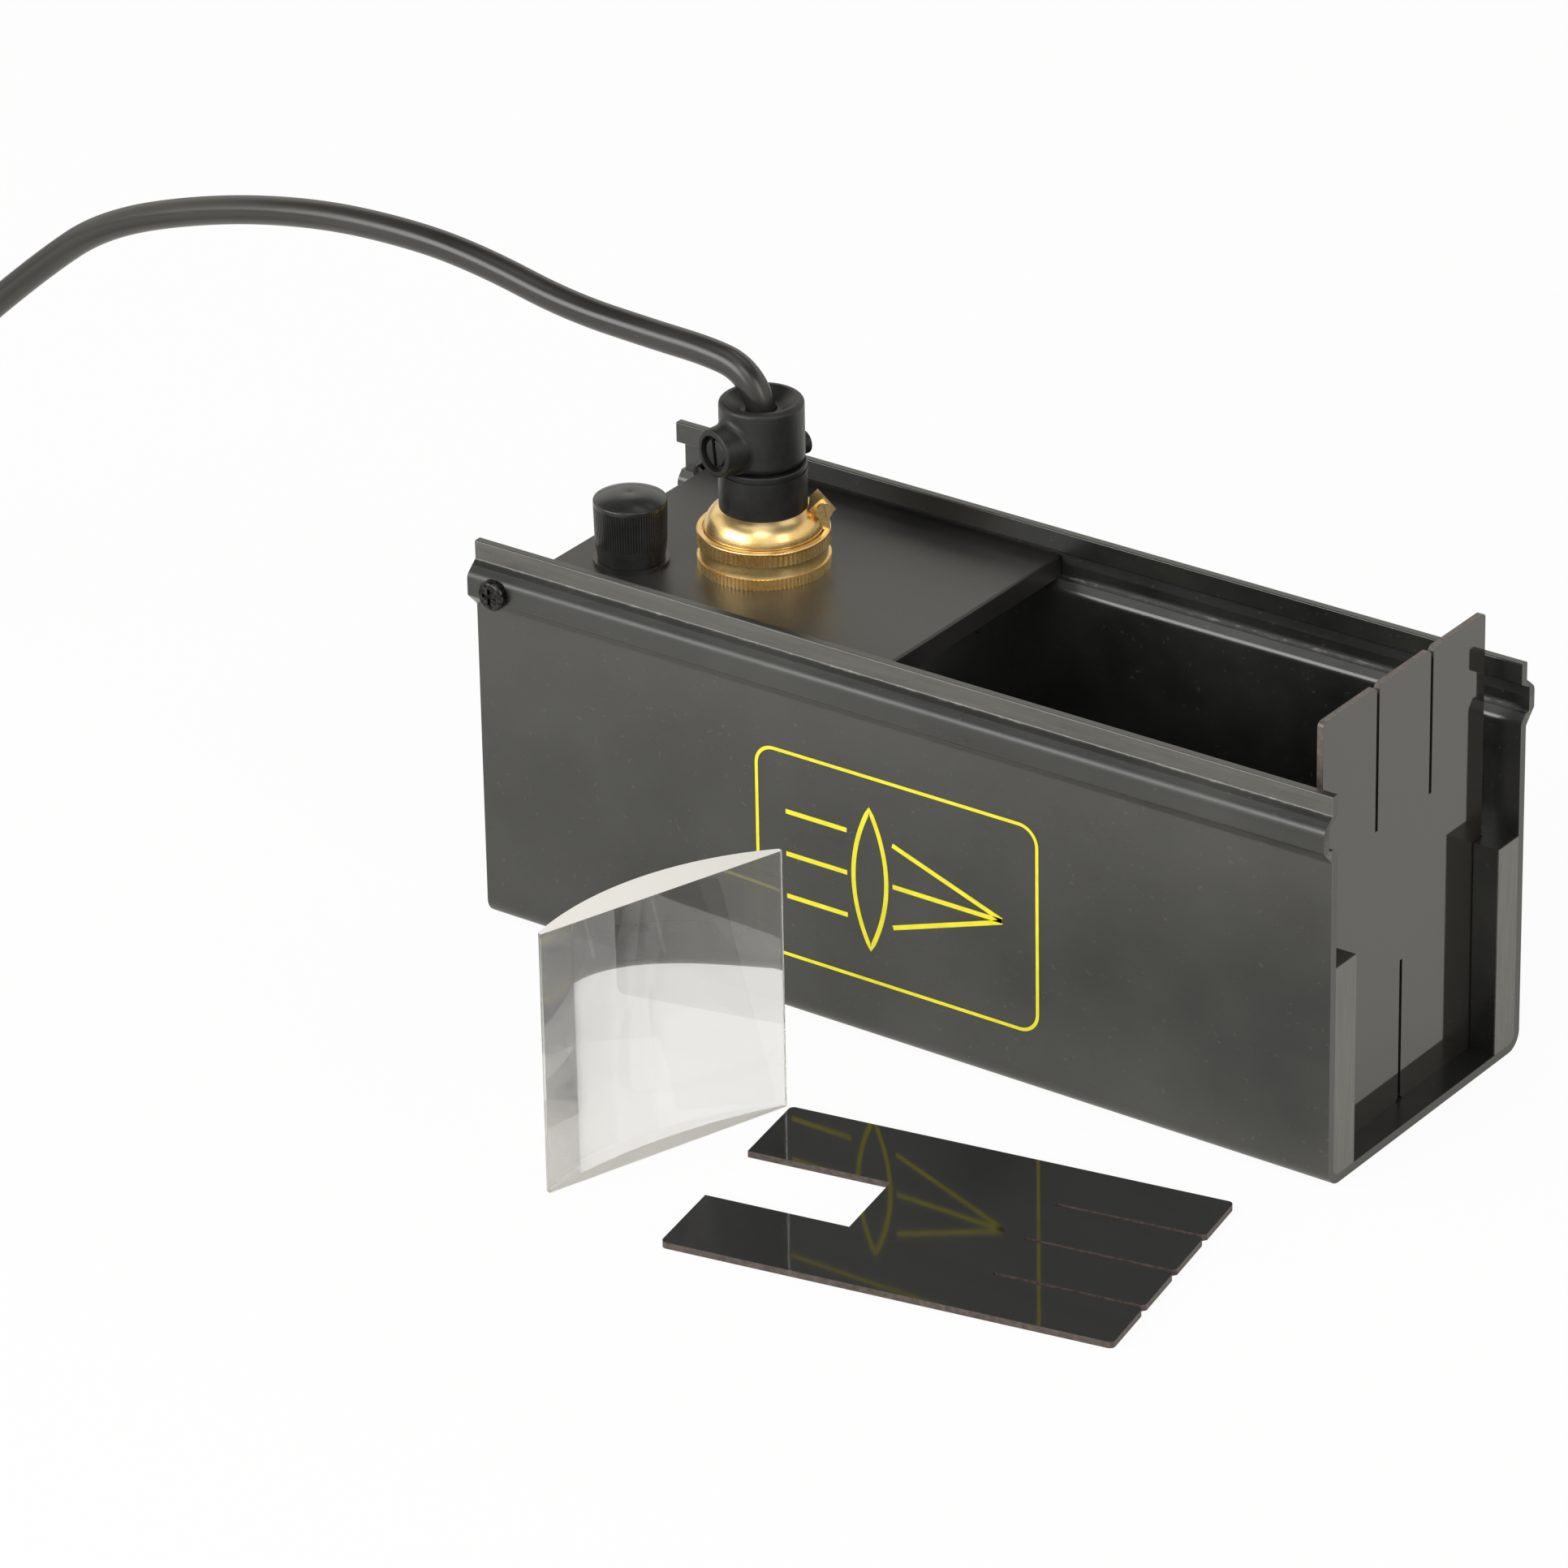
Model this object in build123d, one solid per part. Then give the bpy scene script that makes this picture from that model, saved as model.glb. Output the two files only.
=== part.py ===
from build123d import *
import math
import os

os.makedirs("parts", exist_ok=True)

# An optics ray box. Millimetres, +Z up, +X towards the open end that the light leaves by, +Y towards
# the far wall. The origin is the centre of the housing's underside.

# Driving dimensions.
HOUSING_LENGTH = 216.0
HOUSING_HEIGHT = 90.0
WALL = 2.0
FLOOR_CORNER = 4.0  # outer radius along the two floor edges
# The rail is where each side wall steps outwards and back in, which leaves a groove inside.
RAIL_LIP = 4.2  # height of the straight lip above the rail
RAIL_OUT = 3.1  # how far the rail stands outside the wall
RAIL_STEP = 2.7  # height over which the wall steps out
RAIL_FLAT = 4.7  # height of the rail's flat outer face
RAIL_BACK = 3.2  # height over which the wall comes back in
RAIL_CORNER = 2.0  # rounding where the step turns into the flat, and inside where the wall starts
RAIL_CREASE = 0.5  # rounding of its other corners outside
LIP_EDGE = 0.3  # rounding along the top of the lip
RAIL_INSIDE_GAIN = 0.5  # the groove is this much taller than the rail's flat, above and below the step
RAIL_LEDGE = 1.5  # width of the flat ledge that carries the carriage
RAIL_LEDGE_DROP = 0.3  # from the foot of the rail's flat down to the ledge
RAIL_FOOT_RISE = 1.0  # the inside of the lower slope starts this far above its outside

PLATE_WIDTH = 61.5
PLATE_HEIGHT = 100.0
PLATE_THICKNESS = 1.5
PLATE_CORNER = 1.2
SLIT_WIDTH = 1.0
SLIT_LENGTH = 33.0
SLIT_MOUTH = 1.3  # half the width of the chamfered mouth of a slit
NOTCH_WIDTH = 20.0
NOTCH_DEPTH = 32.5

GUIDE_HOLD = 3.35  # how far a guide's ribs reach in past the edge of the plate
GUIDE_SIDE_GAP = 0.45  # between the edge of the plate and the bottom of its slot
GUIDE_BED = 3.9  # from the bottom of the slot to the wall
GUIDE_RIB = 6.15
GUIDE_HEIGHT = 48.3
SLOT_CLEARANCE = 0.25  # on each side of a slit plate in its slot

LENS_SIZE = 60.0  # width and height
LENS_RADIUS = 66.0
LENS_EDGE = 1.0  # thickness along the two thin edges
LENS_SLOT_INSET = 32.0  # from the open end back to the middle of the lens slots
LENS_SLOT_WIDTH = 3.2
LENS_RIB = 4.0
LENS_GUIDE_HEIGHT = 40.0

PLATFORM_LENGTH = 89.0
PLATFORM_REAR_GAP = 1.7  # between its rear end and the stop screws
PLATFORM_SHEET = 2.0
PLATFORM_FLANGE = 5.0  # height of the rim that runs in the grooves
PLATFORM_EDGE = 0.6  # rounding of its two ends
CARRIAGE_SIDE_GAP = 0.35
CARRIAGE_REST_GAP = 0.1

HOLDER_INSET = 38.5  # from the platform's rear end to the lampholder's axis
THREAD_RADIUS = 12.2  # outside of the lampholder's barrel
BARREL_BORE = 7.75  # bayonet cap of 15 mm
BARREL_DROP = 20.0  # below the platform
BARREL_WALL = 1.3
BARREL_FLANGE = 1.5  # thickness of the flange under the platform
BARREL_FLANGE_REACH = 2.0  # how far the flange stands out past the thread
BARREL_THREAD_WALL = 1.5
RING_RADIUS = 14.4
RING_BAND_RADIUS = 13.9
RING_KNURL_HEIGHT = 2.35
RING_BAND_HEIGHT = 3.0
RING_BAND_HOLLOW = 0.25  # how far the band is hollowed at its middle
RING_BEAD_HEIGHT = 0.9  # the rounded bead on top of the upper ring
BEAD_ROUND = 0.45  # rounding of the bead, as a share of its height
RING_UPPER_TEETH = 80
RING_LOWER_TEETH = 96
KNURL_DEPTH = 0.35
RIB_SHARE = 0.45  # how much of a tooth's pitch its rib takes
DOME_RADIUS = 12.9
DOME_HEIGHT = 5.7
DOME_RECESS = 0.7  # depth of the seat for the dome in the upper ring
DOME_SEAT_GAP = 0.3  # round the dome in its seat
DOME_DRAW = 0.9  # how far the dome's side has come in at the place below
DOME_DRAW_SHARE = 0.6  # of its height
BRASS_SHEET = 0.8
EARTH_ANGLE = 31.8  # where the earth terminal stands, round from +X
EARTH_TURN = -65.8  # its own turn from facing straight outwards
EARTH_PLACE_RADIUS = 11.9
EARTH_DEPTH = 4.0
EARTH_WIDTH = 4.4  # of the square block, which stands with one corner up
EARTH_TILT = 37.0
EARTH_STEM = 3.2  # width of the stem under it
EARTH_SCREW_Z = 4.7  # the screw's axis above the upper ring
EARTH_SCREW_RADIUS = 1.9
EARTH_SCREW_HEAD = 1.2
EARTH_SCREW_TURN = 12.0
EARTH_COLLAR_GAP = 0.3  # between its hollowed back and the collar
EARTH_SCREW_SHANK = 1.1
EARTH_SCREW_LENGTH = 1.4
SCREW_SLOT_WIDTH = 0.6
SCREW_SLOT_DEPTH = 0.5
CORE_HEIGHT = 7.0
CORE_ROOF = 1.5  # what is left of the core above the plungers' ways
PLUNGER_RADIUS = 1.6
PLUNGER_REACH = 2.5  # length of a contact plunger inside the core
CONTACT_SPACING = 6.6
CONTACT_RADIUS = 1.4
CONTACT_HEIGHT = 0.6
TERMINAL_RADIUS = 1.8
TERMINAL_HEIGHT = 1.6

COLLAR_RADIUS = 9.5
COLLAR_HEIGHT = 10.2
COLLAR_EDGE = 0.4
COLLAR_LINE_DROP = 1.3  # from the collar's top down to the line turned round it
COLLAR_LINE_WIDTH = 0.5
COLLAR_LINE_DEPTH = 0.3
GRIP_RADIUS = 9.15
GRIP_HEIGHT = 14.4
GRIP_EDGE = 1.1
GRIP_BOSS_RADIUS = 5.3
GRIP_BOSS_ROOT = 1.0  # how much thicker it is at its root
GRIP_BOSS_FLARE = 1.8  # rounding where it runs into the body
GRIP_RECESS_RADIUS = 4.0  # round the screw's head
GRIP_RECESS_DEPTH = 1.6
GRIP_BOSS_EDGE = 0.5
GRIP_BOSS_REACH = 13.2  # from the cord's axis to the face of the screw boss
GRIP_BOSS_ANGLE = -106.0
GRIP_BOSS_HEIGHT = 5.4  # its middle above the foot of the grip
GRIP_SCREW_RADIUS = 3.1
GRIP_SCREW_FOOT = 5.0  # from the cord's axis to the inner end of the screw
GRIP_SCREW_SUNK = 0.5  # its head below the face of the boss
GRIP_SCREW_EDGE = 0.4
GRIP_SCREW_TURN = 98.0
GRIP_SLOT_WIDTH = 1.1
GRIP_SLOT_DEPTH = 1.0
GRIP_DISH = 2.2  # depth of the dished mouth
GRIP_DISH_FLOOR = 1.3  # width of the flat round the cord at the bottom of the dish
GRIP_RIM = 1.6  # width of the rim round the dish
SPIGOT_RADIUS = 8.2
SPIGOT_LENGTH = 2.0
WIRE_WAY = 2.2  # radius of the passage for the two wires
LUG_RADIUS = 2.6
LUG_REACH = 11.4
LUG_HEIGHT = 1.0

LAMP_GLASS_RADIUS = 13.0
LAMP_GLASS_LENGTH = 38.0
LAMP_CAP_RADIUS = 7.5
LAMP_CAP_LENGTH = 20.0
BAYONET_PIN_RADIUS = 1.0
BAYONET_PIN_SPAN = 17.0
BAYONET_PIN_HEIGHT = 9.0  # above the foot of the barrel
BAYONET_GAP = 0.3  # round a pin in its slot
BAYONET_TURN = 30.0  # degrees from the way in to the pocket
CAP_ABOVE_PIN = 6.3
CAP_EDGE = 0.8
LAMP_PUSH = 1.5
GLASS_WALL = 0.7
GLASS_IN_CAP = 0.7  # the neck is this much slimmer than the cap
GLASS_SHOULDER_DROP = 6.5  # below the neck, where the shoulder has widened by the next value
GLASS_SHOULDER = 1.2
GLASS_TURN_OUT = 0.8  # where the ball passes into the shoulder: shares of its radius outwards
GLASS_TURN_UP = 0.6  # and upwards
FILAMENT_LENGTH = 8.0
FILAMENT_RADIUS = 0.45
POST_RADIUS = 0.35

KNOB_INSET = 14.4  # from the platform's rear end to the knob's axis
KNOB_Y = -15.0
KNOB_TOP_RADIUS = 7.95
KNOB_WAIST_RADIUS = 7.75  # where its flutes start
KNOB_FOOT_RADIUS = 7.25
KNOB_HEIGHT = 13.6
KNOB_DOME = 1.4
KNOB_BEND_OUT = 0.72  # a place on the domed top: share of its radius
KNOB_BEND_UP = 0.66  # and of its height
KNOB_FLUTES = 84
KNOB_FLUTE_DEPTH = 0.2
KNOB_PLAIN_FOOT = 4.0  # height of its smooth foot
KNOB_PLAIN_TOP = 0.9  # and of the smooth rim above the flutes
KNOB_EDGE = 0.45
WASHER_RADIUS = 8.2
WASHER_THICKNESS = 0.8
STUD_RADIUS = 2.0
STUD_IN_KNOB = 8.0
KNOB_GAP = 0.1
NUT_RADIUS = 4.2
NUT_HEIGHT = 3.0
STUD_BELOW_NUT = 1.5

STOP_INSET = 7.3  # from the housing's rear end to the stop screws
STOP_DROP = 9.5  # below the top edge of the wall
STOP_SHANK_RADIUS = 1.5
STOP_HEAD_RADIUS = 3.4
STOP_HEAD_HEIGHT = 2.0
STOP_HEAD_EDGE = 0.9
STOP_CROSS = 3.7  # length of each arm's cut in the cross recess
STOP_CROSS_WIDTH = 0.8
STOP_CROSS_DEPTH = 0.5
STOP_REACH = 5.2  # from the groove's outer wall inwards

CORD_RADIUS = 3.2
CORD_SEAT = 8.2  # from the foot of the grip up to the end of the cord's sheath
CORD_WAY_GAP = 0.15  # round the cord in the grip
CORD_FIRST_RUN = 7.3  # the first straight run of the lead, up out of the grip
CORD_LIFT = 0.1  # between the lying cord and the table
COIL_RADIUS = 44.0
COIL_BEHIND = 277.0  # from the lampholder's axis back to the middle of the coil
COIL_Y = -82.0
COIL_TAIL = 20.0  # straight lead between the coil and the plug
TURN_PITCH = 6.9
TURNS_IN = 2.5
CLIMB_TURNS = 0.5  # the part of a turn in which the coil climbs a layer
TURNS_OUT = 2.0
PLUG_LENGTH = 34.0
PLUG_WIDTH = 31.0
PLUG_PIN_SPACING = 19.0
PLUG_PIN_RADIUS = 2.0
PLUG_PIN_LENGTH = 19.0
PLUG_CORNER = 4.0
RELIEF_LENGTH = 24.0
RELIEF_RADIUS = 6.5
RELIEF_WALL = 0.6  # round the cord at the thin end
RELIEF_GROOVES = 6
RELIEF_GROOVE = 1.4
RELIEF_PLAIN = 2.9  # from each end to the nearest groove's middle
RELIEF_CORE = 0.2  # what a groove leaves round the cord at the thin end
RELIEF_CORE_TAPER = 0.08  # and how much thicker that gets along the lead
PLUG_PIN_END = 1.2  # rounding of a pin's end

SPARE_PLATE_X = 52.6
SPARE_PLATE_Y = -93.4
SPARE_PLATE_ANGLE = 10.2
LENS_X = -13.8
LENS_Y = -98.8
LENS_ANGLE = 71.6

FIT = 0.05  # radial clearance of pieces that fit in one another
THROUGH = 200.0  # length of a cut that goes right through a piece
OVERCUT = 1.0  # how far a cut runs past the face that it opens

# Places that follow from the sizes above.
guide_rib_y = PLATE_WIDTH / 2 - GUIDE_HOLD
guide_bed_y = PLATE_WIDTH / 2 + GUIDE_SIDE_GAP
inner_y = guide_bed_y + GUIDE_BED
half_width = inner_y + WALL
front_x = HOUSING_LENGTH / 2
groove_y = inner_y + RAIL_OUT
rail_step_z = HOUSING_HEIGHT - RAIL_LIP
rail_flat_z = rail_step_z - RAIL_STEP
rail_back_z = rail_flat_z - RAIL_FLAT
rail_foot_z = rail_back_z - RAIL_BACK
ledge_z = rail_back_z - RAIL_LEDGE_DROP
stop_x = STOP_INSET - front_x
stop_z = HOUSING_HEIGHT - STOP_DROP
platform_rear_x = stop_x + STOP_SHANK_RADIUS + PLATFORM_REAR_GAP
holder_x = platform_rear_x + HOLDER_INSET
knob_x = platform_rear_x + KNOB_INSET
lens_slot_x = front_x - LENS_SLOT_INSET
slot_width = PLATE_THICKNESS + 2 * SLOT_CLEARANCE
slot_x = front_x - GUIDE_RIB - slot_width / 2
plate_back_x = slot_x - PLATE_THICKNESS / 2
rim_z = ledge_z + CARRIAGE_REST_GAP
platform_z = rim_z + PLATFORM_FLANGE
shelf_z = platform_z - PLATFORM_SHEET - BARREL_FLANGE
core_z = shelf_z + BRASS_SHEET
barrel_foot_z = platform_z - PLATFORM_SHEET - BARREL_DROP
pin_z = barrel_foot_z + BAYONET_PIN_HEIGHT
cap_top_z = pin_z + CAP_ABOVE_PIN
cap_foot_z = cap_top_z - LAMP_CAP_LENGTH
upper_ring_z = platform_z + RING_KNURL_HEIGHT + RING_BAND_HEIGHT
ring_top_z = upper_ring_z + RING_KNURL_HEIGHT + RING_BEAD_HEIGHT
dome_z = ring_top_z - DOME_RECESS
collar_z = dome_z + DOME_HEIGHT
grip_z = collar_z + COLLAR_HEIGHT
cord_start_z = grip_z + CORD_SEAT
knob_z = platform_z + WASHER_THICKNESS + KNOB_GAP
lying_z = CORD_RADIUS + CORD_LIFT
top_layer_z = lying_z + TURN_PITCH
total_turns = TURNS_IN + CLIMB_TURNS + TURNS_OUT
coil_x = holder_x - COIL_BEHIND
coil_start_x = coil_x - COIL_RADIUS

ON_BASE = (Align.CENTER, Align.CENTER, Align.MIN)
UNDER = (Align.CENTER, Align.CENTER, Align.MAX)


def save(name, shape):
    export_step(shape, os.path.join("parts", name + ".step"))


def on(value, place):
    return abs(value - place) < 0.01


def block(x0, x1, y0, y1, z0, z1):
    """A box from its lower and upper corners."""
    middle = Pos((x0 + x1) / 2, (y0 + y1) / 2, (z0 + z1) / 2)
    return middle * Box(x1 - x0, y1 - y0, z1 - z0)


def turned(points):
    """A solid turned about Z from an outline of (radius, height) points."""
    return revolve(Plane.XZ * Polygon(*points, align=None), Axis.Z)


def toothed(radius, teeth, depth):
    """A circle whose edge has flat ribs with a V-shaped groove after each."""
    points = []
    for i in range(teeth):
        for r, share in ((radius, 0), (radius, RIB_SHARE), (radius - depth, (1 + RIB_SHARE) / 2)):
            angle = (i + share) * 2 * math.pi / teeth
            points.append((r * math.cos(angle), r * math.sin(angle)))
    return Polygon(*points, align=None)


# The housing is one extruded channel, mirrored about its middle.
def channel_housing():
    outer = [
        (0, 0),
        (half_width, 0),
        (half_width, rail_foot_z),
        (half_width + RAIL_OUT, rail_back_z),
        (half_width + RAIL_OUT, rail_flat_z),
        (half_width, rail_step_z),
        (half_width, HOUSING_HEIGHT),
    ]
    inner = [
        (inner_y, HOUSING_HEIGHT),
        (inner_y, rail_step_z - RAIL_INSIDE_GAIN),
        (groove_y, rail_flat_z + RAIL_INSIDE_GAIN),
        (groove_y, ledge_z),
        (groove_y - RAIL_LEDGE, ledge_z),
        (inner_y, rail_foot_z + RAIL_FOOT_RISE),
        (inner_y, WALL),
        (0, WALL),
    ]
    half = Polygon(*outer, *inner, align=None)
    profile = half + mirror(half, Plane.YZ)
    rail_y = half_width + RAIL_OUT
    roundings = [
        (half_width, 0, FLOOR_CORNER),
        (inner_y, WALL, FLOOR_CORNER - WALL),
        (half_width, rail_foot_z, RAIL_CREASE),
        (rail_y, rail_back_z, RAIL_CREASE),
        (rail_y, rail_flat_z, RAIL_CORNER),
        (half_width, rail_step_z, RAIL_CREASE),
        (half_width, HOUSING_HEIGHT, LIP_EDGE),
        (inner_y, HOUSING_HEIGHT, LIP_EDGE),
        (inner_y, rail_step_z - RAIL_INSIDE_GAIN, RAIL_CREASE),
        (inner_y, rail_foot_z + RAIL_FOOT_RISE, RAIL_CORNER),
    ]
    for y, z, radius in roundings:
        corners = [v for v in profile.vertices() if on(abs(v.X), y) and on(v.Y, z)]
        profile = fillet(corners, radius)
    body = Pos(-front_x, 0, 0) * (Plane.YZ * extrude(profile, HOUSING_LENGTH))
    bore = Pos(stop_x, 0, stop_z) * Rot(90, 0, 0) * Cylinder(STOP_SHANK_RADIUS + FIT, 4 * half_width)
    return body - bore


# A slot guide is a moulded strip against one wall: a bed, with two ribs that leave a slot between them.
# Its foot follows the rounded corner of the floor.
def slot_guide(slot_x, slot_width, rib, height):
    back = slot_x - slot_width / 2
    front = slot_x + slot_width / 2
    foot = WALL
    head = WALL + height
    body = block(back - rib, front + rib, guide_bed_y, inner_y, foot, head)
    body += block(back - rib, back, guide_rib_y, inner_y, foot, head)
    body += block(front, front + rib, guide_rib_y, inner_y, foot, head)
    along = body.edges().filter_by(Axis.X)
    corner = [e for e in along if on(e.center().Y, inner_y) and on(e.center().Z, foot)]
    return fillet(corner, FLOOR_CORNER - WALL)


def save_pair(name, far_piece):
    save(name + "_far", far_piece)
    save(name + "_near", mirror(far_piece, Plane.XZ))


# A stop screw goes in through each rail, so that its shank stops the carriage at the rear.
def stop_screw():
    seat = groove_y + WALL
    shank_length = WALL + STOP_REACH
    shank = Pos(0, 0, -shank_length / 2) * Cylinder(STOP_SHANK_RADIUS, shank_length)
    head = Cylinder(STOP_HEAD_RADIUS, STOP_HEAD_HEIGHT, align=ON_BASE)
    head = fillet(head.edges().sort_by(Axis.Z)[-1], STOP_HEAD_EDGE)
    arm = Box(STOP_CROSS, STOP_CROSS_WIDTH, 2 * STOP_CROSS_DEPTH)
    recess = arm + Rot(0, 0, 90) * arm
    screw = shank + head - Pos(0, 0, STOP_HEAD_HEIGHT) * recess
    return Pos(stop_x, seat, stop_z) * Rot(-90, 0, 0) * screw


# A slit plate is drawn flat, with the middle of its foot at the origin and its height along +Y.
def slit_plate(top_slits, foot_slits, notched):
    middle = PLATE_HEIGHT / 2
    outline = Pos(0, middle) * RectangleRounded(PLATE_WIDTH, PLATE_HEIGHT, PLATE_CORNER)
    for places, edge, way in ((top_slits, PLATE_HEIGHT, -1), (foot_slits, 0, 1)):
        for x in places:
            outline -= Pos(x, edge + way * SLIT_LENGTH / 2) * Rectangle(SLIT_WIDTH, SLIT_LENGTH)
            mouth = [(x - SLIT_MOUTH, edge), (x + SLIT_MOUTH, edge), (x, edge + way * SLIT_MOUTH)]
            outline -= Polygon(*mouth, align=None)
    if notched:
        outline -= Pos(0, NOTCH_DEPTH / 2) * Rectangle(NOTCH_WIDTH, NOTCH_DEPTH)
    return extrude(outline, PLATE_THICKNESS)


# Two slits at the top and one at the foot, standing in the front slot.
def front_slit_plate():
    third = PLATE_WIDTH / 3
    plate = slit_plate([-third / 2, third / 2], [0], False)
    return Pos(plate_back_x, 0, WALL) * (Plane.YZ * plate)


# Three slits at one end and a wide notch at the other, lying on the table.
def spare_slit_plate():
    quarter = PLATE_WIDTH / 4
    plate = slit_plate([-quarter, 0, quarter], [], True)
    flat = Rot(0, 0, -90) * Pos(0, -PLATE_HEIGHT / 2, 0) * plate
    return Pos(SPARE_PLATE_X, SPARE_PLATE_Y, 0) * Rot(0, 0, SPARE_PLATE_ANGLE) * flat


# A plano-convex cylindrical lens, standing on end beside the box.
def cylindrical_lens():
    half = LENS_SIZE / 2
    sagitta = LENS_RADIUS - math.sqrt(LENS_RADIUS**2 - half**2)
    crown = ThreePointArc((half, LENS_EDGE), (0, LENS_EDGE + sagitta), (-half, LENS_EDGE))
    sides = Polyline((-half, LENS_EDGE), (-half, 0), (half, 0), (half, LENS_EDGE))
    section = make_face([crown, sides])
    return Pos(LENS_X, LENS_Y, 0) * Rot(0, 0, LENS_ANGLE) * extrude(section, LENS_SIZE)


# The lamp carriage is a shallow tray, upside down, whose rim runs in the two grooves.
def lamp_platform():
    side = groove_y - CARRIAGE_SIDE_GAP
    rear = platform_rear_x
    front = rear + PLATFORM_LENGTH
    tray = block(rear, front, -side, side, rim_z, platform_z)
    tray = fillet(tray.edges().filter_by(Axis.Y).group_by(Axis.Z)[-1], PLATFORM_EDGE)
    t = PLATFORM_SHEET
    tray -= block(rear + t, front - t, t - side, side - t, rim_z, platform_z - t)
    tray -= Pos(holder_x, 0, platform_z) * Cylinder(THREAD_RADIUS + FIT, THROUGH)
    tray -= Pos(knob_x, KNOB_Y, platform_z) * Cylinder(STUD_RADIUS + FIT, THROUGH)
    return tray


def sector(r0, r1, z0, z1, start, sweep_angle):
    """Part of a ring, for the slots in the lampholder's barrel."""
    outline = Polygon((r0, z0), (r1, z0), (r1, z1), (r0, z1), align=None)
    return Rot(0, 0, start) * revolve(Plane.XZ * outline, Axis.Z, sweep_angle)


# The lampholder's brass barrel: a threaded part through the platform, with a flange under it, and
# a narrower bayonet barrel below with two J-shaped slots.
def lampholder_barrel():
    wide = THREAD_RADIUS
    narrow = BARREL_BORE + BARREL_WALL
    under = platform_z - PLATFORM_SHEET
    points = [
        (BARREL_BORE, barrel_foot_z),
        (narrow, barrel_foot_z),
        (narrow, shelf_z),
        (wide + BARREL_FLANGE_REACH, shelf_z),
        (wide + BARREL_FLANGE_REACH, under),
        (wide, under),
        (wide, dome_z),
        (wide - BARREL_THREAD_WALL, dome_z),
        (wide - BARREL_THREAD_WALL, core_z),
        (BARREL_BORE, core_z),
    ]
    barrel = turned(points)
    slot = BAYONET_PIN_RADIUS + BAYONET_GAP
    high = pin_z + LAMP_PUSH
    turn = math.degrees(slot / BARREL_BORE)
    r0 = BARREL_BORE - OVERCUT
    r1 = narrow + OVERCUT
    for start in (0, 180):
        way_in = start + BAYONET_TURN
        barrel -= sector(r0, r1, pin_z - slot, high + slot, start - turn, 2 * turn)
        barrel -= sector(r0, r1, high - slot, high + slot, start, BAYONET_TURN)
        barrel -= sector(r0, r1, barrel_foot_z - OVERCUT, high + slot, way_in - turn, 2 * turn)
    return Pos(holder_x, 0, 0) * barrel


# Two shade rings clamp the platform to the barrel. Each is knurled; the lower one also has a smooth
# hollowed band, and the upper one a bead that the dome sits inside.
def shade_ring_lower():
    foot = RING_KNURL_HEIGHT
    head = foot + RING_BAND_HEIGHT
    bore = THREAD_RADIUS + FIT
    hollow = (RING_BAND_RADIUS - RING_BAND_HOLLOW, (foot + head) / 2)
    band = ThreePointArc((RING_BAND_RADIUS, foot), hollow, (RING_BAND_RADIUS, head))
    rest = Polyline((RING_BAND_RADIUS, head), (bore, head), (bore, foot), (RING_BAND_RADIUS, foot))
    ring = revolve(Plane.XZ * make_face([band, rest]), Axis.Z)
    knurl = extrude(toothed(RING_RADIUS, RING_LOWER_TEETH, KNURL_DEPTH), RING_KNURL_HEIGHT)
    ring += knurl - Cylinder(bore, THROUGH)
    return Pos(holder_x, 0, platform_z) * ring


def shade_ring_upper():
    ring = extrude(toothed(RING_RADIUS, RING_UPPER_TEETH, KNURL_DEPTH), RING_KNURL_HEIGHT)
    bead = Cylinder(RING_RADIUS, RING_BEAD_HEIGHT, align=ON_BASE)
    bead = fillet(bead.edges().filter_by(GeomType.CIRCLE), RING_BEAD_HEIGHT * BEAD_ROUND)
    ring += Pos(0, 0, RING_KNURL_HEIGHT) * bead
    ring -= Cylinder(THREAD_RADIUS + FIT, THROUGH)
    seat = Cylinder(DOME_RADIUS + DOME_SEAT_GAP, THROUGH, align=ON_BASE)
    ring -= Pos(0, 0, dome_z - upper_ring_z) * seat
    return Pos(holder_x, 0, upper_ring_z) * ring


def dome_solid(shrink):
    """The dome's outline turned solid, drawn in by shrink on all sides but its foot."""
    foot = DOME_RADIUS - shrink
    top = COLLAR_RADIUS - shrink / 2
    height = DOME_HEIGHT - shrink
    side = ThreePointArc((foot, 0), (foot - DOME_DRAW, height * DOME_DRAW_SHARE), (top, height))
    rest = Polyline((top, height), (0, height), (0, 0), (foot, 0))
    return revolve(Plane.XZ * make_face([side, rest]), Axis.Z)


def lampholder_dome():
    shell = dome_solid(0) - dome_solid(BRASS_SHEET)
    shell -= Cylinder(SPIGOT_RADIUS + FIT, THROUGH)
    return Pos(holder_x, 0, dome_z) * shell


# The earth terminal is a small brass block on the upper ring, with a slotted screw in its face.
def earth_place():
    around = Pos(holder_x, 0, ring_top_z) * Rot(0, 0, EARTH_ANGLE)
    return around * Pos(EARTH_PLACE_RADIUS, 0, 0) * Rot(0, 0, EARTH_TURN)


def earth_face():
    return earth_place() * Pos(EARTH_DEPTH / 2, 0, EARTH_SCREW_Z) * Rot(0, 90, 0)


def earth_terminal():
    block = Pos(0, 0, EARTH_SCREW_Z) * Rot(EARTH_TILT, 0, 0) * Box(EARTH_DEPTH, EARTH_WIDTH, EARTH_WIDTH)
    stem = Box(EARTH_DEPTH, EARTH_STEM, EARTH_SCREW_Z, align=ON_BASE)
    piece = earth_place() * (block + stem)
    piece -= earth_face() * Cylinder(EARTH_SCREW_SHANK + FIT, EARTH_DEPTH)
    dome = Pos(holder_x, 0, dome_z) * dome_solid(0)
    collar = Cylinder(COLLAR_RADIUS + EARTH_COLLAR_GAP, COLLAR_HEIGHT, align=ON_BASE)
    return piece - dome - Pos(holder_x, 0, collar_z) * collar


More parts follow.
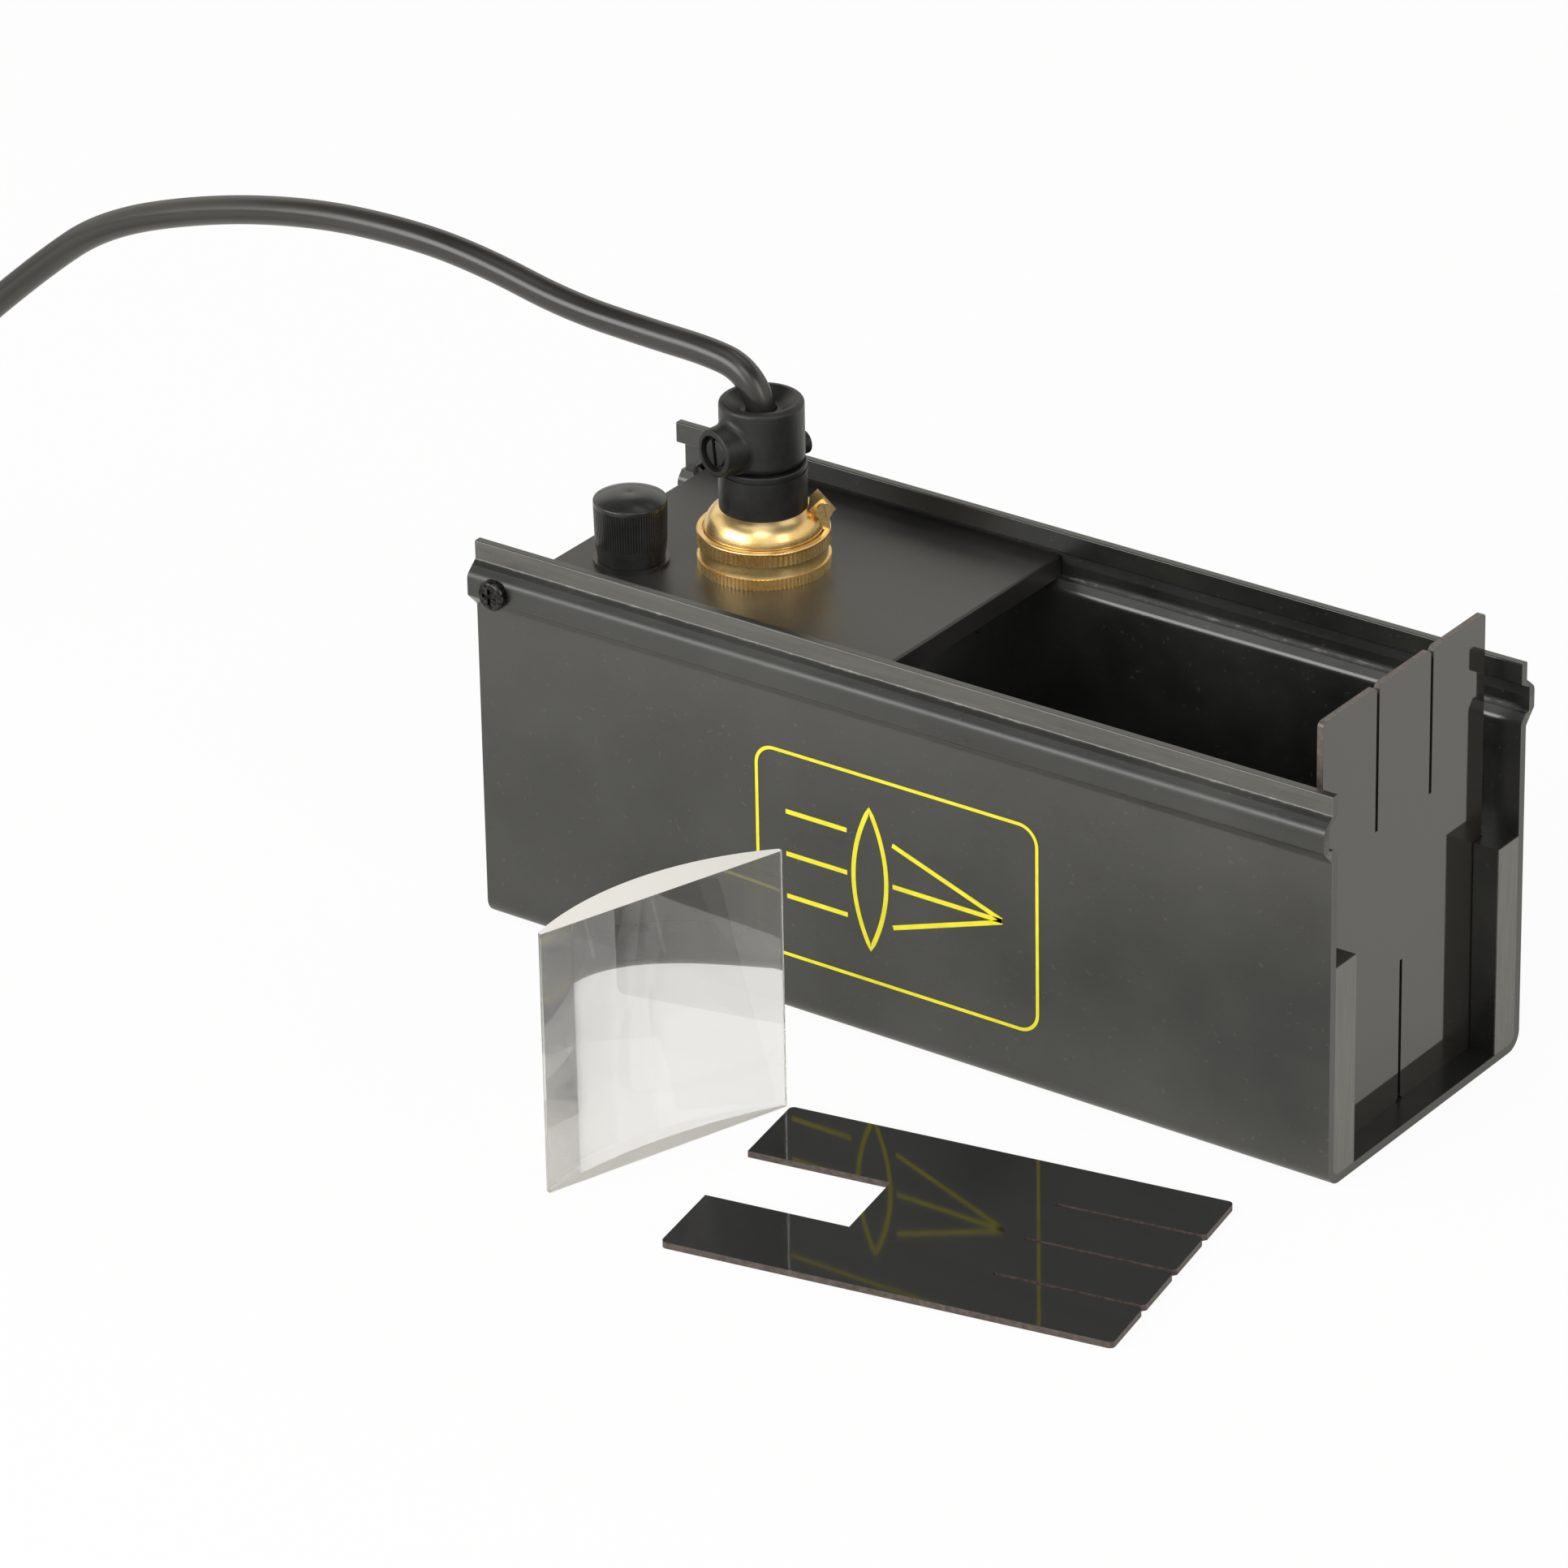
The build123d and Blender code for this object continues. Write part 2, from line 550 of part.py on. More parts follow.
def slotted_head(radius, height):
    """A flat screw head with a slot across it."""
    slot = Box(2 * radius, SCREW_SLOT_WIDTH, 2 * SCREW_SLOT_DEPTH)
    return Cylinder(radius, height, align=ON_BASE) - Pos(0, 0, height) * slot


def earth_screw():
    head = slotted_head(EARTH_SCREW_RADIUS, EARTH_SCREW_HEAD)
    shank = Pos(0, 0, -EARTH_SCREW_LENGTH / 2) * Cylinder(EARTH_SCREW_SHANK, EARTH_SCREW_LENGTH)
    return earth_face() * Rot(0, 0, EARTH_SCREW_TURN) * (head + shank)


# Inside the barrel a black core carries the two sprung contacts and their terminal screws.
def insulator_core():
    core = Cylinder(THREAD_RADIUS - BARREL_THREAD_WALL - FIT, CORE_HEIGHT, align=ON_BASE)
    for side in (-1, 1):
        way = Cylinder(PLUNGER_RADIUS + FIT, CORE_HEIGHT - CORE_ROOF, align=ON_BASE)
        core -= Pos(0, side * CONTACT_SPACING / 2, 0) * way
    return Pos(holder_x, 0, core_z) * core


def terminal_screw(side):
    head = slotted_head(TERMINAL_RADIUS, TERMINAL_HEIGHT)
    return Pos(holder_x, side * CONTACT_SPACING, core_z + CORE_HEIGHT) * head


def contact_plunger(side):
    tip = cap_top_z + CONTACT_HEIGHT
    length = core_z - tip + PLUNGER_REACH
    rod = Cylinder(PLUNGER_RADIUS, length, align=ON_BASE)
    return Pos(holder_x, side * CONTACT_SPACING / 2, tip) * rod


# The black cord grip: a plain collar under a body with a screw boss, dished where the cord comes out.
def cord_grip_collar():
    collar = Pos(0, 0, -SPIGOT_LENGTH) * Cylinder(SPIGOT_RADIUS, SPIGOT_LENGTH, align=ON_BASE)
    neck = Cylinder(COLLAR_RADIUS, COLLAR_HEIGHT, align=ON_BASE)
    line = Cylinder(COLLAR_RADIUS + OVERCUT, COLLAR_LINE_WIDTH)
    line -= Cylinder(COLLAR_RADIUS - COLLAR_LINE_DEPTH, COLLAR_LINE_WIDTH)
    neck -= Pos(0, 0, COLLAR_HEIGHT - COLLAR_LINE_DROP) * line
    collar += fillet(neck.edges().group_by(Axis.Z)[-1], COLLAR_EDGE)
    return Pos(holder_x, 0, collar_z) * (collar - Cylinder(WIRE_WAY, THROUGH))


def boss_place():
    around = Pos(holder_x, 0, grip_z + GRIP_BOSS_HEIGHT) * Rot(0, 0, GRIP_BOSS_ANGLE)
    return around * Rot(0, 90, 0)


def cord_grip_body():
    body = Cylinder(GRIP_RADIUS, GRIP_HEIGHT, align=ON_BASE)
    body = fillet(body.edges().group_by(Axis.Z)[-1], GRIP_EDGE)
    body = Pos(holder_x, 0, grip_z) * body
    root = GRIP_BOSS_RADIUS + GRIP_BOSS_ROOT
    boss = Cone(root, GRIP_BOSS_RADIUS, GRIP_BOSS_REACH, align=ON_BASE)
    boss = fillet(boss.edges().group_by(Axis.Z)[-1], GRIP_BOSS_EDGE)
    boss = boss_place() * boss
    boss -= Pos(holder_x, 0, grip_z) * Cylinder(2 * GRIP_BOSS_REACH, THROUGH, align=UNDER)
    seams = body.edges() + boss.edges()
    body += boss
    seams = [e for e in body.edges() if not any(on((e.center() - o.center()).length, 0) for o in seams)]
    body = fillet(seams, GRIP_BOSS_FLARE)
    lug_place = Pos(holder_x, 0, grip_z + LUG_HEIGHT) * Rot(0, 0, GRIP_BOSS_ANGLE + 180) * Rot(0, 90, 0)
    body += lug_place * Cylinder(LUG_RADIUS, LUG_REACH, align=ON_BASE)
    body -= Pos(holder_x, 0, collar_z) * Cylinder(COLLAR_RADIUS + FIT, COLLAR_HEIGHT, align=ON_BASE)
    floor = CORD_RADIUS + GRIP_DISH_FLOOR
    mouth = GRIP_RADIUS - GRIP_RIM
    dish = turned([(0, 0), (floor, 0), (mouth, GRIP_DISH), (0, GRIP_DISH)])
    body -= Pos(holder_x, 0, grip_z + GRIP_HEIGHT - GRIP_DISH) * dish
    body -= Pos(holder_x, 0, cord_start_z) * Cylinder(CORD_RADIUS + CORD_WAY_GAP, GRIP_HEIGHT, align=ON_BASE)
    body -= Pos(holder_x, 0, grip_z) * Cylinder(WIRE_WAY, GRIP_HEIGHT)
    way = Cylinder(GRIP_SCREW_RADIUS + FIT, GRIP_BOSS_REACH, align=ON_BASE)
    body -= boss_place() * Pos(0, 0, GRIP_SCREW_FOOT) * way
    recess = Cylinder(GRIP_RECESS_RADIUS, GRIP_RECESS_DEPTH, align=ON_BASE)
    return body - boss_place() * Pos(0, 0, GRIP_BOSS_REACH - GRIP_RECESS_DEPTH) * recess


def cord_grip_screw():
    length = GRIP_BOSS_REACH - GRIP_SCREW_SUNK - GRIP_SCREW_FOOT
    screw = Cylinder(GRIP_SCREW_RADIUS, length, align=ON_BASE)
    screw = fillet(screw.edges().group_by(Axis.Z)[-1], GRIP_SCREW_EDGE)
    screw -= Pos(0, 0, length) * Box(GRIP_SLOT_WIDTH, 2 * GRIP_SCREW_RADIUS, 2 * GRIP_SLOT_DEPTH)
    return boss_place() * Pos(0, 0, GRIP_SCREW_FOOT) * Rot(0, 0, GRIP_SCREW_TURN) * screw


# The lamp: a small bayonet cap with two side pins, two contacts and a round glass bulb.
def lamp_cap():
    cap = Cylinder(LAMP_CAP_RADIUS, LAMP_CAP_LENGTH, align=ON_BASE)
    cap = fillet(cap.edges().group_by(Axis.Z)[-1], CAP_EDGE)
    pin = Rot(0, 90, 0) * Cylinder(BAYONET_PIN_RADIUS, BAYONET_PIN_SPAN)
    cap += Pos(0, 0, pin_z - cap_foot_z) * pin
    return Pos(holder_x, 0, cap_foot_z) * cap


def lamp_contact(side):
    pad = Cylinder(CONTACT_RADIUS, CONTACT_HEIGHT, align=ON_BASE)
    return Pos(holder_x, side * CONTACT_SPACING / 2, cap_top_z) * pad


def bulb_solid(shrink):
    """The bulb's outline turned solid, with its neck at the top and its round end at the foot."""
    r = LAMP_GLASS_RADIUS - shrink
    neck = LAMP_CAP_RADIUS - GLASS_IN_CAP - shrink
    low = LAMP_GLASS_RADIUS
    top = LAMP_GLASS_LENGTH
    turn = (r * GLASS_TURN_OUT, low + r * GLASS_TURN_UP)
    ball = ThreePointArc((0, low - r), (r, low), turn)
    shoulder = ThreePointArc(turn, (neck + GLASS_SHOULDER, top - GLASS_SHOULDER_DROP), (neck, top))
    rest = Polyline((neck, top), (0, top), (0, low - r))
    return revolve(Plane.XZ * make_face([ball, shoulder, rest]), Axis.Z)


def lamp_glass():
    glass = bulb_solid(0) - bulb_solid(GLASS_WALL)
    return Pos(holder_x, 0, cap_foot_z - LAMP_GLASS_LENGTH) * glass


# A straight filament across the bulb's middle, on two wire posts that come out of the cap.
def lamp_filament():
    height = LAMP_GLASS_LENGTH - LAMP_GLASS_RADIUS
    posts = Part()
    for side in (-1, 1):
        posts += Pos(0, side * FILAMENT_LENGTH / 2, height / 2) * Cylinder(POST_RADIUS, height)
    wire = Rot(90, 0, 0) * Cylinder(FILAMENT_RADIUS, FILAMENT_LENGTH)
    return Pos(holder_x, 0, cap_foot_z - height) * (posts + wire)


# The clamp knob stands on a washer and turns a stud in a nut under the platform.
def clamp_knob():
    high = KNOB_HEIGHT - KNOB_PLAIN_TOP
    waist = Pos(0, 0, KNOB_PLAIN_FOOT) * toothed(KNOB_WAIST_RADIUS, KNOB_FLUTES, KNOB_FLUTE_DEPTH)
    neck = Pos(0, 0, high) * toothed(KNOB_TOP_RADIUS, KNOB_FLUTES, KNOB_FLUTE_DEPTH)
    knob = loft([waist.face(), neck.face()], ruled=True)
    foot = (KNOB_FOOT_RADIUS, 0)
    knob += turned([(0, 0), foot, (KNOB_WAIST_RADIUS, KNOB_PLAIN_FOOT), (0, KNOB_PLAIN_FOOT)])
    rim = KNOB_TOP_RADIUS
    crown = ThreePointArc((rim, 0), (rim * KNOB_BEND_OUT, KNOB_DOME * KNOB_BEND_UP), (0, KNOB_DOME))
    rest = Polyline((0, KNOB_DOME), (0, -KNOB_PLAIN_TOP), (rim, -KNOB_PLAIN_TOP), (rim, 0))
    head = revolve(Plane.XZ * make_face([crown, rest]), Axis.Z)
    edge = [e for e in head.edges() if on(e.center().Z, 0) and e.length > rim]
    knob += Pos(0, 0, KNOB_HEIGHT) * fillet(edge, KNOB_EDGE)
    knob -= Cylinder(STUD_RADIUS + FIT, STUD_IN_KNOB, align=ON_BASE)
    return Pos(knob_x, KNOB_Y, knob_z) * knob


def knob_stud():
    foot = platform_z - PLATFORM_SHEET - NUT_HEIGHT - STUD_BELOW_NUT
    return Pos(knob_x, KNOB_Y, foot) * Cylinder(STUD_RADIUS, knob_z + STUD_IN_KNOB - foot, align=ON_BASE)


def knob_washer():
    ring = Cylinder(WASHER_RADIUS, WASHER_THICKNESS, align=ON_BASE) - Cylinder(STUD_RADIUS + FIT, THROUGH)
    return Pos(knob_x, KNOB_Y, platform_z) * ring


def stud_nut():
    nut = extrude(RegularPolygon(NUT_RADIUS, 6), NUT_HEIGHT) - Cylinder(STUD_RADIUS + FIT, THROUGH)
    return Pos(knob_x, KNOB_Y, platform_z - PLATFORM_SHEET - NUT_HEIGHT) * nut


# The lead's route where it isn't coiled: up out of the grip, over the rear of the box in a low arch,
# down to the table and round to the coil.
LEAD_POINTS = [
    (holder_x, 0, cord_start_z),
    (holder_x, 0, cord_start_z + CORD_FIRST_RUN),
    (holder_x - 4.0, 0, 128.6),
    (holder_x - 12.5, 0, 131.2),
    (holder_x - 27.0, 0, 131.0),
    (holder_x - 48.0, 0, 130.5),
    (holder_x - 71.0, 0, 136.6),
    (holder_x - 93.0, 0, 138.6),
    (holder_x - 119.0, 0, 136.4),
    (holder_x - 148.0, 0, 129.8),
    (holder_x - 177.0, -1.0, 121.0),
    (holder_x - 198.0, -2.0, 104.6),
    (holder_x - 220.0, -5.0, 80.0),
    (holder_x - 239.0, -8.5, 51.0),
    (holder_x - 257.0, -12.5, 25.5),
    (holder_x - 272.0, -16.5, 10.5),
    (holder_x - 289.0, -21.5, lying_z),
    (coil_start_x + 16.0, COIL_Y + 53.0, lying_z),
    (coil_start_x + 5.0, COIL_Y + 40.5, lying_z),
    (coil_start_x, COIL_Y + 22.5, lying_z),
    (coil_start_x, COIL_Y + 2 * CORD_RADIUS, lying_z),
]


def corner_radii(points):
    """Each corner's arc is as large as its two runs allow: 0.45 of the shorter run."""
    radii = []
    for before, here, after in zip(points, points[1:], points[2:]):
        run_in = Vector(*here) - Vector(*before)
        run_out = Vector(*after) - Vector(*here)
        half_turn = math.radians(run_in.get_angle(run_out)) / 2
        radii.append(0.45 * min(run_in.length, run_out.length) / math.tan(half_turn))
    return radii


def swept_cord(path):
    section = Plane(origin=path @ 0, z_dir=path % 0) * Circle(CORD_RADIUS)
    return sweep(section, path=path)


def lead_cord():
    radii = corner_radii(LEAD_POINTS)
    path = FilletPolyline(*LEAD_POINTS, radius=radii)
    tube = swept_cord(path)
    ratio = tube.volume / (math.pi * CORD_RADIUS**2 * path.length)
    print("lead radii", [round(r, 1) for r in radii])
    print("lead length", round(path.length, 1), "volume ratio", round(ratio, 5))
    return tube


# The coil is one spiral that winds in on the table, climbs one layer where it turns back, and winds out
# on top. Places along it are counted in turns from the start.
def coil_radius(turns):
    reverse = TURNS_IN + CLIMB_TURNS / 2
    return COIL_RADIUS - TURN_PITCH * min(turns, 2 * reverse - turns)


def coil_place(turns):
    angle = math.pi + 2 * math.pi * turns
    climb = min(max((turns - TURNS_IN) / CLIMB_TURNS, 0), 1)
    height = lying_z + TURN_PITCH * (1 - math.cos(math.pi * climb)) / 2
    r = coil_radius(turns)
    return Vector(coil_x + r * math.cos(angle), COIL_Y + r * math.sin(angle), height)


def coil_heading(turns):
    """The direction of the coil: square to its radius at both ends and where it turns back."""
    if turns in (0, total_turns):
        angle = math.pi + 2 * math.pi * turns
        return Vector(-math.sin(angle), math.cos(angle), 0)
    step = 0.001
    return (coil_place(turns + step) - coil_place(turns - step)).normalized()


def biarc(start, heading, end, end_heading):
    """Two arcs that leave start and reach end in the given directions and meet smoothly."""
    chord = end - start
    both = heading + end_heading
    a = 4 - both.dot(both)
    b = 2 * chord.dot(both)
    c = chord.dot(chord)
    reach = (-b + math.sqrt(b * b + 4 * a * c)) / (2 * a)
    first = start + heading * reach
    second = end - end_heading * reach
    middle = (first + second) * 0.5
    return [
        TangentArc(start, middle, tangent=heading),
        TangentArc(middle, end, tangent=second - first),
    ]


def coil_path():
    places = [i / 4 for i in range(int(total_turns * 4) + 1)]
    start = coil_place(0)
    end = coil_place(total_turns)
    edges = [Line(start - coil_heading(0) * 2 * CORD_RADIUS, start)]
    for here, there in zip(places, places[1:]):
        edges += biarc(coil_place(here), coil_heading(here), coil_place(there), coil_heading(there))
    edges.append(Line(end, end + coil_heading(total_turns) * COIL_TAIL))
    return Wire([edge.edge() for edge in edges])


def least_gap(path):
    """The smallest gap between stretches of the coil that are at least a third of a turn apart."""
    count = 420
    places = [path.position_at(i / count) for i in range(count + 1)]
    apart = int(count * COIL_RADIUS * 2 / path.length)
    gaps = []
    for i, here in enumerate(places):
        gaps += [(there - here).length for there in places[i + apart:]]
    return min(gaps) - 2 * CORD_RADIUS


def lead_coil():
    path = coil_path()
    tube = swept_cord(path)
    ratio = tube.volume / (math.pi * CORD_RADIUS**2 * path.length)
    print("coil length", round(path.length, 1), "volume ratio", round(ratio, 5))
    print("coil least gap", round(least_gap(path), 2))
    return tube


def plug_place():
    """The end of the coil, with +Z along the lead."""
    heading = coil_heading(total_turns)
    return Plane(origin=coil_place(total_turns) + heading * COIL_TAIL, x_dir=(0, 0, 1), z_dir=heading)


def plug_strain_relief():
    thin = CORD_RADIUS + RELIEF_WALL
    relief = turned([(0, 0), (thin, 0), (RELIEF_RADIUS, RELIEF_LENGTH), (0, RELIEF_LENGTH)])
    step = (RELIEF_LENGTH - 2 * RELIEF_PLAIN) / (RELIEF_GROOVES - 1)
    for i in range(RELIEF_GROOVES):
        z = RELIEF_PLAIN + i * step
        core = CORD_RADIUS + RELIEF_CORE + z * RELIEF_CORE_TAPER
        cut = Cylinder(RELIEF_RADIUS + OVERCUT, RELIEF_GROOVE) - Cylinder(core, RELIEF_GROOVE)
        relief -= Pos(0, 0, z) * cut
    return plug_place().location * relief


def plug_body():
    body = Box(2 * top_layer_z, PLUG_WIDTH, PLUG_LENGTH, align=ON_BASE)
    body = fillet(body.edges().filter_by(Axis.Z), PLUG_CORNER)
    return plug_place().location * Pos(0, 0, RELIEF_LENGTH) * body


def plug_pin(side):
    pin = Cylinder(PLUG_PIN_RADIUS, PLUG_PIN_LENGTH, align=ON_BASE)
    pin = fillet(pin.edges().group_by(Axis.Z)[-1], PLUG_PIN_END)
    return plug_place().location * Pos(0, side * PLUG_PIN_SPACING / 2, RELIEF_LENGTH + PLUG_LENGTH) * pin


single_pieces = [
    channel_housing,
    front_slit_plate,
    spare_slit_plate,
    cylindrical_lens,
    lamp_platform,
    lampholder_barrel,
    shade_ring_lower,
    shade_ring_upper,
    lampholder_dome,
    earth_terminal,
    earth_screw,
    insulator_core,
    cord_grip_collar,
    cord_grip_body,
    cord_grip_screw,
    lamp_cap,
    lamp_glass,
    lamp_filament,
    clamp_knob,
    knob_stud,
    knob_washer,
    stud_nut,
    lead_cord,
    lead_coil,
    plug_strain_relief,
    plug_body,
]
for piece in single_pieces:
    save(piece.__name__, piece())
save_pair("front_guide", slot_guide(slot_x, slot_width, GUIDE_RIB, GUIDE_HEIGHT))
save_pair("lens_guide", slot_guide(lens_slot_x, LENS_SLOT_WIDTH, LENS_RIB, LENS_GUIDE_HEIGHT))
save_pair("stop_screw", stop_screw())
for piece in (lamp_contact, contact_plunger, terminal_screw, plug_pin):
    save(piece.__name__ + "_near", piece(-1))
    save(piece.__name__ + "_far", piece(1))
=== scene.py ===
import math

import bmesh
import bpy
from mathutils import Matrix, Vector


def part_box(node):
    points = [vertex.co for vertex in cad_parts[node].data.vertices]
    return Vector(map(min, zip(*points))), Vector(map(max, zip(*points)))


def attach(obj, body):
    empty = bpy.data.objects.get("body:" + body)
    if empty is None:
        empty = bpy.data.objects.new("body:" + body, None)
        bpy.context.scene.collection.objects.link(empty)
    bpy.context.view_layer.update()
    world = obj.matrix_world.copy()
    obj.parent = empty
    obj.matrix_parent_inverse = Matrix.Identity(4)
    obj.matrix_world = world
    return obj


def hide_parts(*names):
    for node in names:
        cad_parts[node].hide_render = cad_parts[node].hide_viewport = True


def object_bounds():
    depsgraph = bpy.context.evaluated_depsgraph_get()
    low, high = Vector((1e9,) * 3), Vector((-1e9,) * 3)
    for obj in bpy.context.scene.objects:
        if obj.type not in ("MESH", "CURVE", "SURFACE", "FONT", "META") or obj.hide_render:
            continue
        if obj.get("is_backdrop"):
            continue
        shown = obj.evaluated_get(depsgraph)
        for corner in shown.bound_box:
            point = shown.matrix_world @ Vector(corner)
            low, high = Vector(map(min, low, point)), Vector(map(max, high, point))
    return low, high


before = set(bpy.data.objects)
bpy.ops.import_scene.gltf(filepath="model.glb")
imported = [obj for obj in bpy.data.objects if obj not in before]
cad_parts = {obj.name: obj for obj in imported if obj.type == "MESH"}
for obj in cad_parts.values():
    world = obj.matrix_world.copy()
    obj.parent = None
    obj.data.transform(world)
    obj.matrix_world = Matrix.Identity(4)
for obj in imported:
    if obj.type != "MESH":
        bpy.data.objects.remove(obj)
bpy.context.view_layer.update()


# The view. A long lens looks down at the near wall from its right, so that the open end of the box,
# the platform with its lampholder and the two loose pieces in front all show.
camera_data = bpy.data.cameras.new("camera")
camera_data.sensor_width = 36.0
camera_data.lens = 206.2
camera_data.clip_start = 0.05
camera_data.clip_end = 60.0
camera = bpy.data.objects.new("camera", camera_data)
bpy.context.scene.collection.objects.link(camera)
right = Vector((0.81175, 0.58376, -0.01708))
up = Vector((-0.25228, 0.37689, 0.89124))
back = right.cross(up)
turn = Matrix((right, up, back)).transposed()
camera_place = (0.963397, -1.39048, 0.907501)
camera.matrix_world = Matrix.Translation(camera_place) @ turn.to_4x4()
bpy.context.scene.camera = camera


# The lead: one round two-core flex in a black PVC sheath. It stands up out of the grip, bends over,
# runs down behind the box to the table, and the rest of it is wound into a neat coil of two layers.
class Socket:
    """A socket of a material's nodes. Sums and products of it add Math nodes."""

    def __init__(self, output):
        self.output = output

    def math(self, operation, first, second=0.0):
        return add(self.output.id_data, "ShaderNodeMath", {"operation": operation}, {0: first, 1: second})

    def __add__(self, other):
        return self.math("ADD", self, other)

    def __radd__(self, other):
        return self.math("ADD", other, self)

    def __sub__(self, other):
        return self.math("SUBTRACT", self, other)

    def __rsub__(self, other):
        return self.math("SUBTRACT", other, self)

    def __mul__(self, other):
        return self.math("MULTIPLY", self, other)

    def __rmul__(self, other):
        return self.math("MULTIPLY", other, self)

    def __abs__(self):
        return self.math("ABSOLUTE", self)

    def above(self, other):
        return self.math("GREATER_THAN", self, other)

    def below(self, other):
        return self.math("LESS_THAN", self, other)

    def at_least(self, other):
        return self.math("MAXIMUM", self, other)

    def at_most(self, other):
        return self.math("MINIMUM", self, other)


def add(tree, kind, settings=None, sockets=None, out=0):
    """A node of that type, with its settings first and then the values or links of its sockets."""
    made = tree.nodes.new(kind)
    for name, value in (settings or {}).items():
        if name == "stops":
            ramp = made.color_ramp.elements
            while len(ramp) < len(value):
                ramp.new(0.5)
            for stop, (place, shade) in zip(ramp, value):
                stop.position = place
                stop.color = (*shade, 1.0)
        else:
            setattr(made, name, value)
    for name, value in (sockets or {}).items():
        if isinstance(value, Socket):
            tree.links.new(value.output, made.inputs[name])
        else:
            made.inputs[name].default_value = value
    return Socket(made.outputs[out])


def finish_of(name, **values):
    """A new material. The values go on its shader's own sockets, named with _ for a space."""
    material = bpy.data.materials.new(name)
    material.use_nodes = True
    shader = material.node_tree.nodes["Principled BSDF"]
    for socket, value in values.items():
        shader.inputs[socket.replace("_", " ")].default_value = value
    return material


def feed(material, **sockets):
    """Links what varies over the surface to the shader."""
    shader = material.node_tree.nodes["Principled BSDF"]
    for socket, value in sockets.items():
        material.node_tree.links.new(value.output, shader.inputs[socket.replace("_", " ")])


def fed(material, socket):
    """What a socket of the shader is fed with so far."""
    shader = material.node_tree.nodes["Principled BSDF"]
    return Socket(shader.inputs[socket].links[0].from_socket)


def place_on(material):
    """The place on the piece, in metres of the shared frame."""
    return add(material.node_tree, "ShaderNodeTexCoord", out=3)


def along(place, axis):
    """How far the place is along one axis."""
    return add(place.output.id_data, "ShaderNodeSeparateXYZ", None, {0: place}, "XYZ".index(axis))


def stretched(place, x, y, z):
    """The place scaled along each axis, so that a pattern on it is longer where the scale is small."""
    tree = place.output.id_data
    return add(tree, "ShaderNodeVectorMath", {"operation": "MULTIPLY"}, {0: place, 1: (x, y, z)})


def noise(place, scale, detail=2.0, roughness=0.5):
    """Soft clouds from 0 to 1, as many to the metre as the scale says."""
    values = {"Vector": place, "Scale": scale, "Detail": detail, "Roughness": roughness}
    return add(place.output.id_data, "ShaderNodeTexNoise", None, values)


def ramp(value, *stops):
    """A shade for each value from 0 to 1. Each stop is a place and a colour or a grey."""
    full = [(at, shade if isinstance(shade, tuple) else (shade,) * 3) for at, shade in stops]
    return add(value.output.id_data, "ShaderNodeValToRGB", {"stops": full}, {0: value})


def mix(amount, first, second):
    """A colour between two, by an amount from 0 to 1."""
    values = {0: amount, 6: first, 7: second}
    return add(amount.output.id_data, "ShaderNodeMix", {"data_type": "RGBA"}, values, 2)


def bump(height, distance):
    """The relief of a height from 0 to 1 that is distance metres deep."""
    values = {"Height": height, "Distance": distance, "Strength": 1.0}
    return add(height.output.id_data, "ShaderNodeBump", None, values)


def dress(material, *pieces):
    """Gives pieces, or CAD nodes by name, a material."""
    for piece in pieces:
        mesh = (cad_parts[piece] if isinstance(piece, str) else piece).data
        mesh.materials.clear()
        mesh.materials.append(material)


def new_object(name, data, body):
    """A piece in the scene that moves with a body."""
    piece = bpy.data.objects.new(name, data)
    bpy.context.scene.collection.objects.link(piece)
    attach(piece, body)
    return piece


LEAD_DIAMETER = 0.0064
lead_route = [
    (-0.0590, 0.0000, 0.1152),
    (-0.0585, 0.0000, 0.1203),
    (-0.0639, 0.0000, 0.1274),
    (-0.0730, 0.0000, 0.1289),
    (-0.0865, 0.0000, 0.1292),
    (-0.1096, 0.0000, 0.1303),
    (-0.1318, 0.0000, 0.1352),
    (-0.1506, 0.0000, 0.1370),
    (-0.1771, 0.0000, 0.1359),
    (-0.2073, 0.0000, 0.1298),
    (-0.2376, -0.0010, 0.1195),
    (-0.2565, -0.0020, 0.1048),
    (-0.2812, -0.0050, 0.0821),
    (-0.2980, -0.0085, 0.0510),
    (-0.3160, -0.0125, 0.0255),
    (-0.3310, -0.0165, 0.0105),
    (-0.3480, -0.0215, 0.0033),
    (-0.3640, -0.0290, 0.0033),
    (-0.3750, -0.0415, 0.0033),
    (-0.3800, -0.0595, 0.0033),
    (-0.3800, -0.0756, 0.0033),
]
COIL_X = -0.336
COIL_Y = -0.082
COIL_REACH = 0.044  # from its middle to the lead's middle in the outermost turn
TURNS = 5
PLACES_PER_TURN = 16
INWARD_TURNS = 2.5  # wound inwards on the table, before the lead climbs and is wound out again
CLIMB_TURNS = 0.5
REST_HEIGHT = 0.0033  # of the lead's middle when it lies on the table
TURN_PITCH = 0.0069  # between turns beside or on each other
for step in range(TURNS * PLACES_PER_TURN + 1):
    turns = step / PLACES_PER_TURN
    angle = math.pi + 2 * math.pi * turns
    climb = min(max((turns - INWARD_TURNS) / CLIMB_TURNS, 0), 1)
    height = REST_HEIGHT + TURN_PITCH * (1 - math.cos(math.pi * climb)) / 2
    reach = COIL_REACH - TURN_PITCH * min(turns, 2 * INWARD_TURNS + CLIMB_TURNS - turns)
    lead_route.append((COIL_X + reach * math.cos(angle), COIL_Y + reach * math.sin(angle), height))
# From the upper layer straight into the plug's relief.
PLUG_X = -0.37655
UPPER_HEIGHT = REST_HEIGHT + TURN_PITCH
lead_route.append((PLUG_X, -0.092, UPPER_HEIGHT))
lead_route.append((PLUG_X, -0.102, UPPER_HEIGHT))

